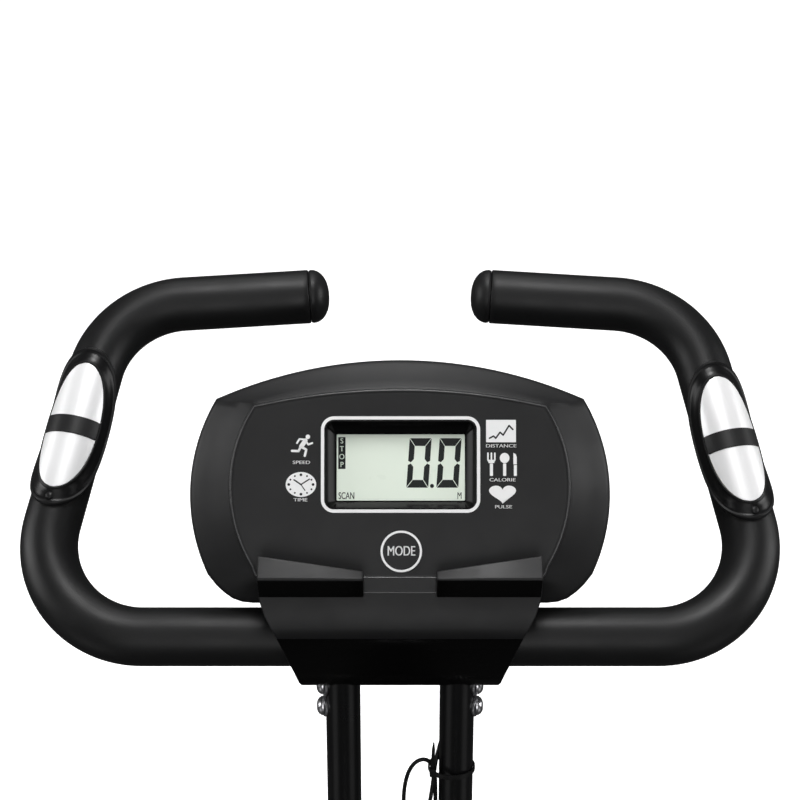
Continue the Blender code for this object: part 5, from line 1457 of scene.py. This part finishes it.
def make_pedal(side, name, tip):
    """A weighted platform pedal with grip ribs, a strap over the foot and the studs that hold it."""
    on = "pedal_" + name
    middle = at(side * PEDAL_X, tip)
    tray = slab_block(middle + Vector((0, 0, -3)), (47.8, 51.8, 12), corner=9)
    pedal = piece(on + "_tray", tray, "cap_black", on, [on])
    windows = [slab_block(middle + Vector((0, y, 14)), (32, 9, 17), corner=3) for y in (-32, 32)]
    hollow = slab_block(middle + Vector((0, 0, -12)), (43, 47, 9), corner=6)
    cut(pedal, rod(at(side * 50, tip), at(side * 180, tip), SPINDLE_R, 40), hollow, *windows)
    soften(pedal, 1.4, 3)
    barrel = rod(middle - 46.5 * RIGHT, middle + 46.5 * RIGHT, 11.2, 48, 1.2)
    made = piece(on + "_barrel", barrel, "cap_black", on)
    cut(made, rod(at(side * 50, tip), at(side * 180, tip), SPINDLE_R + 0.1, 40))
    keel = slab_block(middle + Vector((0, 0, -21)), (30, 17, 8), corner=5)
    piece(on + "_keel", keel, "cap_black", on, bevel=2.0)
    ribs = bmesh.new()
    for y in (-46, -18, -12, 12, 18, 46):
        for x in range(-4, 5):
            corners = rectangle(-3.2, 3.2, -0.9, 0.9, 0.6, 2)
            spot = middle + Vector((x * 9.4, y, 8.6))
            low = [spot + Vector((a, b, 0)) for a, b in corners]
            add_prism(ribs, low, [spot + Vector((a * 0.85, b * 0.7, 1.8)) for a, b in corners])
    piece(on + "_ribs", ribs, "rubber_black", on)
    toe = middle + Vector((0, STRAP_AHEAD, 0))
    corners = [toe + Vector((x, 0, z)) for x, z in ((-50.6, -10), (-50.6, 58), (50.6, 58), (50.6, -10))]
    arch = rounded_path(corners, [34, 34], radians(4), 6.0)
    section = [(-1.2, -11.2), (-0.8, -12), (0.8, -12), (1.2, -11.2)]
    section += [(1.2, 11.2), (0.8, 12), (-0.8, 12), (-1.2, 11.2)]
    band = []
    for k, point in enumerate(arch):
        before, after = arch[max(k - 1, 0)], arch[min(k + 1, len(arch) - 1)]
        tangent = (after - before).normalized()
        out = Vector((-tangent.z, 0, tangent.x))
        band.append([point + out * a + Vector((0, b, 0)) for a, b in section])
    strap = piece("strap_band_" + name, lofted(band), "rubber_black", on, ["pedal_strap_" + name])
    holes = [toe + Vector((side * 50.6, 0, z)) for z in (8, 18, 28, 38)]
    cut(strap, *[rod(spot - 6 * RIGHT, spot + 6 * RIGHT, 2.2, 20, 0.2) for spot in holes])
    for x in (-1, 1):
        stud = [(0, 0.9), (4.6, 0.9), (4.9, 1.4), (4.6, 2.4), (3.2, 3.1), (0, 3.4)]
        spot = toe + Vector((x * 50.6, 0, -3))
        place = "in" if x * side < 0 else "out"
        dome = turned(stud, spot, x * RIGHT, 28)
        piece(f"strap_stud_{name}_{place}", dome, "cap_black", on)


# ---------------------------------------------------------------- seat


def seat_half(forward):
    """Half the seat's width, from -1 at its back to 1 at its nose."""
    return 132 - 44 * (forward + 1) / 2 * (0.35 + 0.65 * max(0, forward))


def seat_ring(share, height, count=96):
    """The seat seen from above: broad at the back and narrower at the nose."""
    points = []
    for k in range(count):
        a = 2 * pi * k / count
        forward = cos(a)
        x = share * seat_half(forward) * sin(a)
        points.append(Vector((x, SEAT_CENTRE_Y + share * SEAT_HALF_LONG * forward, SEAT_BASE_Z + height)))
    return points


def make_seat():
    on = "seat"
    post = rod(at(0, on_main(MAIN_LENGTH - 2)), at(0, on_main(SEAT_TOP_AT - 14)), SEAT_POST_R + 0.12, 64)
    tube = piece("seat_tube", post, "chrome", on)
    holes = []
    for along in (790, 815, 840):
        holes.append(rod(at(0, on_main(along)), at(0, on_main(along)) - 30 * MAIN_FRONT, 5.2, 32, 0.2))
    cut(tube, *holes)
    plate = slab_block(Vector((0, SEAT_CENTRE_Y + 22, SEAT_BASE_Z - 3.6)), (45.4, 55.4, 2.8), corner=8)
    piece("seat_plate_cover", plate, "paint_black", on, bevel=0.8)
    sleeve = [(SEAT_POST_R + 0.5, 0.4), (MAIN_R + 3.6, 0.4), (MAIN_R + 5, 1.8), (MAIN_R + 5, 8)]
    sleeve += [(MAIN_R + 3.4, 11.6), (MAIN_R + 0.4, 13.6), (SEAT_POST_R + 1.2, 14)]
    sleeve += [(SEAT_POST_R + 0.5, 13.4)]
    collar = turned(sleeve, at(0, on_main(MAIN_LENGTH)), MAIN_UP, 64, True)
    piece("post_sleeve", collar, "cap_black", "main_frame", ["seat_sleeve"])
    steps = ((0.82, 0.2), (0.855, 0.3), (0.886, 2.4), (0.90, 6), (0.90, 13.2), (0.89, 14.0))
    base = lofted([seat_ring(*step) for step in steps])
    piece("seat_pan", base, "cap_black", on, ["seat_base"], bevel=0.3)
    for x in (-30, 30):
        for y in (-18, 62):
            make_cap_bolt(f"seat_bolt_{'l' if x < 0 else 'r'}_{'b' if y < 0 else 'f'}",
                          Vector((x, SEAT_CENTRE_Y + y, SEAT_BASE_Z - 6.2)), Vector((0, 0, -1)), 4.0, on)
    make_cushion()


def make_cushion():
    """The padded seat: a closed form swollen as cloth under pressure, with a sewn channel and a welt."""
    steps = [(0.885, 14.6), (0.955, 17), (0.985, 24), (0.985, 42), (0.955, 52), (0.88, 58)]
    steps += [(0.70, 61), (0.35, 62)]
    rings = [seat_ring(share, height) for share, height in steps]
    body = lofted(rings)
    made = piece("seat_pad", body, "vinyl", "seat", ["seat_cushion"], sharp=80)
    remesh = made.modifiers.new("voxels", "REMESH")
    remesh.mode = "VOXEL"
    remesh.voxel_size = 5 * MM
    remesh.use_smooth_shade = True
    relax = made.modifiers.new("relax", "SMOOTH")
    relax.factor = 0.5
    relax.iterations = 4
    keep_modifiers(made)
    swell(made, 7.0, SEAT_BASE_Z + 14.4)
    for vertex in made.data.vertices:
        place = vertex.co / MM
        share = seat_share(place)
        if place.z > SEAT_BASE_Z + 40:
            vertex.co.z -= 2.6 * MM * channel(share, 0.66)
    subdivide = made.modifiers.new("fine", "SUBSURF")
    subdivide.levels = subdivide.render_levels = 1
    for name, share, height, radius in (("welt_low", 0.985, 25.5, 1.9), ("welt_high", 0.975, 50.0, 1.9)):
        ring = seat_ring(share, height, 144)
        sections = []
        for k, point in enumerate(ring):
            along = (ring[(k + 1) % len(ring)] - ring[k - 1]).normalized()
            out = along.cross(Vector((0, 0, 1)))
            section = []
            for j in range(12):
                a = 2 * pi * j / 12
                section.append(point + out * (2.6 + radius * cos(a)) + Vector((0, 0, radius * sin(a))))
            sections.append(section)
        piece("seat_" + name, lofted(sections, closed=True), "vinyl", "seat", sharp=60)


def seat_share(place):
    """How far out a point is on the seat: 0 at the middle and 1 at its rim."""
    x, ahead = place.x, (place.y - SEAT_CENTRE_Y) / SEAT_HALF_LONG
    share, forward = 0.0, 0.0
    for _ in range(5):
        share = sqrt(ahead**2 + (x / seat_half(forward)) ** 2)
        forward = max(-1, min(1, ahead / max(0.05, share)))
    return share


def channel(share, middle):
    """A soft groove, 1 at its middle and 0 a little way off."""
    off = abs(share - middle) / 0.035
    return max(0.0, 1 - off * off) if off < 1 else 0.0


def keep_modifiers(made):
    """Puts the shape that the modifiers give into the mesh."""
    bpy.context.view_layer.update()
    graph = bpy.context.evaluated_depsgraph_get()
    made.data = bpy.data.meshes.new_from_object(made.evaluated_get(graph))
    made.modifiers.clear()
    made.data.shade_smooth()


def swell(made, most, floor):
    """Cloth under pressure for 20 frames. No point moves further than most, or below the floor."""
    start = [vertex.co.copy() for vertex in made.data.vertices]
    cloth = made.modifiers.new("cloth", "CLOTH")
    cloth.settings.use_pressure = True
    cloth.settings.uniform_pressure_force = 4.0
    cloth.settings.quality = 6
    cloth.settings.mass = 0.4
    cloth.settings.effector_weights.gravity = 0.0
    scene = bpy.context.scene
    for step in range(1, 21):
        scene.frame_set(step)
    graph = bpy.context.evaluated_depsgraph_get()
    result = bpy.data.meshes.new_from_object(made.evaluated_get(graph))
    made.modifiers.remove(cloth)
    scene.frame_set(1)
    for vertex, old in zip(result.vertices, start):
        move = vertex.co - old
        if move.length > most * MM:
            move = move.normalized() * most * MM
        vertex.co = old + move
        vertex.co.z = max(vertex.co.z, floor * MM)
    made.data = result
    result.shade_smooth()


# ---------------------------------------------------------------- stage


def make_stage():
    """A pale floor that curves up all round into a pale backdrop."""
    profile = [(0, 0)] + arc((FLOOR_HALF, BACKDROP_BEND_R), BACKDROP_BEND_R, -pi / 2, 0, 15)
    profile.append((FLOOR_HALF + BACKDROP_BEND_R, BACKDROP_TOP))
    bm = turned(profile, (0, 0, 0), (0, 0, 1), 96)
    floor = bpy.data.meshes.new("floor")
    bm.to_mesh(floor)
    bm.free()
    floor.transform(Matrix.Scale(MM, 4))
    floor.shade_smooth()
    ground = bpy.data.objects.new("floor", floor)
    white = shader_material("floor_white", (0.9, 0.9, 0.9), 0.8, specular=0.1)
    glow = white.node_tree.nodes["Principled BSDF"]
    glow.inputs["Emission Color"].default_value = (1, 1, 1, 1)
    glow.inputs["Emission Strength"].default_value = FLOOR_GLOW
    floor.materials.append(white)
    bpy.context.scene.collection.objects.link(ground)
    # The floor is seen, but throws no light back up, as with an object lifted off a dark studio floor.
    ground.visible_diffuse = False
    ground.visible_glossy = False

    world = bpy.context.scene.world or bpy.data.worlds.new("studio")
    bpy.context.scene.world = world
    world.use_nodes = True
    world.node_tree.nodes["Background"].inputs["Color"].default_value = (1, 1, 1, 1)
    world.node_tree.nodes["Background"].inputs["Strength"].default_value = WORLD_GLOW
    for name, place, size, power in LIGHTS:
        softbox(name, place, size, power)
    bpy.context.scene.view_settings.view_transform = "Standard"


def softbox(name, place, size, power):
    lamp = bpy.data.lights.new(name, "AREA")
    lamp.shape = "SQUARE"
    lamp.size = size
    lamp.energy = power
    made = bpy.data.objects.new(name, lamp)
    made.location = place
    made.rotation_euler = (Vector(LIGHT_AIM) - Vector(place)).to_track_quat("-Z", "Y").to_euler()
    bpy.context.scene.collection.objects.link(made)


def make_camera():
    data = bpy.data.cameras.new("camera")
    data.lens = LENS
    data.sensor_width = 36.0
    data.clip_end = 60.0
    made = bpy.data.objects.new("camera", data)
    made.location = Vector(CAMERA_AT) * MM
    made.rotation_euler = (CAMERA_TILT, 0, 0)
    bpy.context.scene.collection.objects.link(made)
    bpy.context.scene.camera = made


# ---------------------------------------------------------------- scene


with open("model.json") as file:
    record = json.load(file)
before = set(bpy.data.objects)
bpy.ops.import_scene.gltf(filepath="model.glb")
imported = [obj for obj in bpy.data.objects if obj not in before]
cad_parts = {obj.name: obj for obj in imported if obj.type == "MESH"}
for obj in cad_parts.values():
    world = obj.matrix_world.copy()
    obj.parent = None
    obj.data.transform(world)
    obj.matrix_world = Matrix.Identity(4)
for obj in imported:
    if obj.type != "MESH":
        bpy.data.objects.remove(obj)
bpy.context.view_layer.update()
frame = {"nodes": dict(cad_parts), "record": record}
MATERIALS = make_materials()
for entry in frame["record"]["subparts"]:
    mesh = frame["nodes"][entry["node"]].data
    mesh.materials.clear()
    mesh.materials.append(MATERIALS[NODE_LOOKS[entry["material_slot"]]])
make_camera()
make_stage()
make_grips()
make_sensors()
make_posts()
make_console()
make_mode_button()
make_prints()
make_holder()
make_bar()
make_main_tube()
make_foot("front", FRONT_FOOT, "main_frame")
make_foot("rear", REAR_FOOT, "rear_frame")
make_rear_frame()
make_pivot_bolt()
make_tension_knob()
make_pins()
make_housing()
make_cranks()
make_seat()
make_cables()
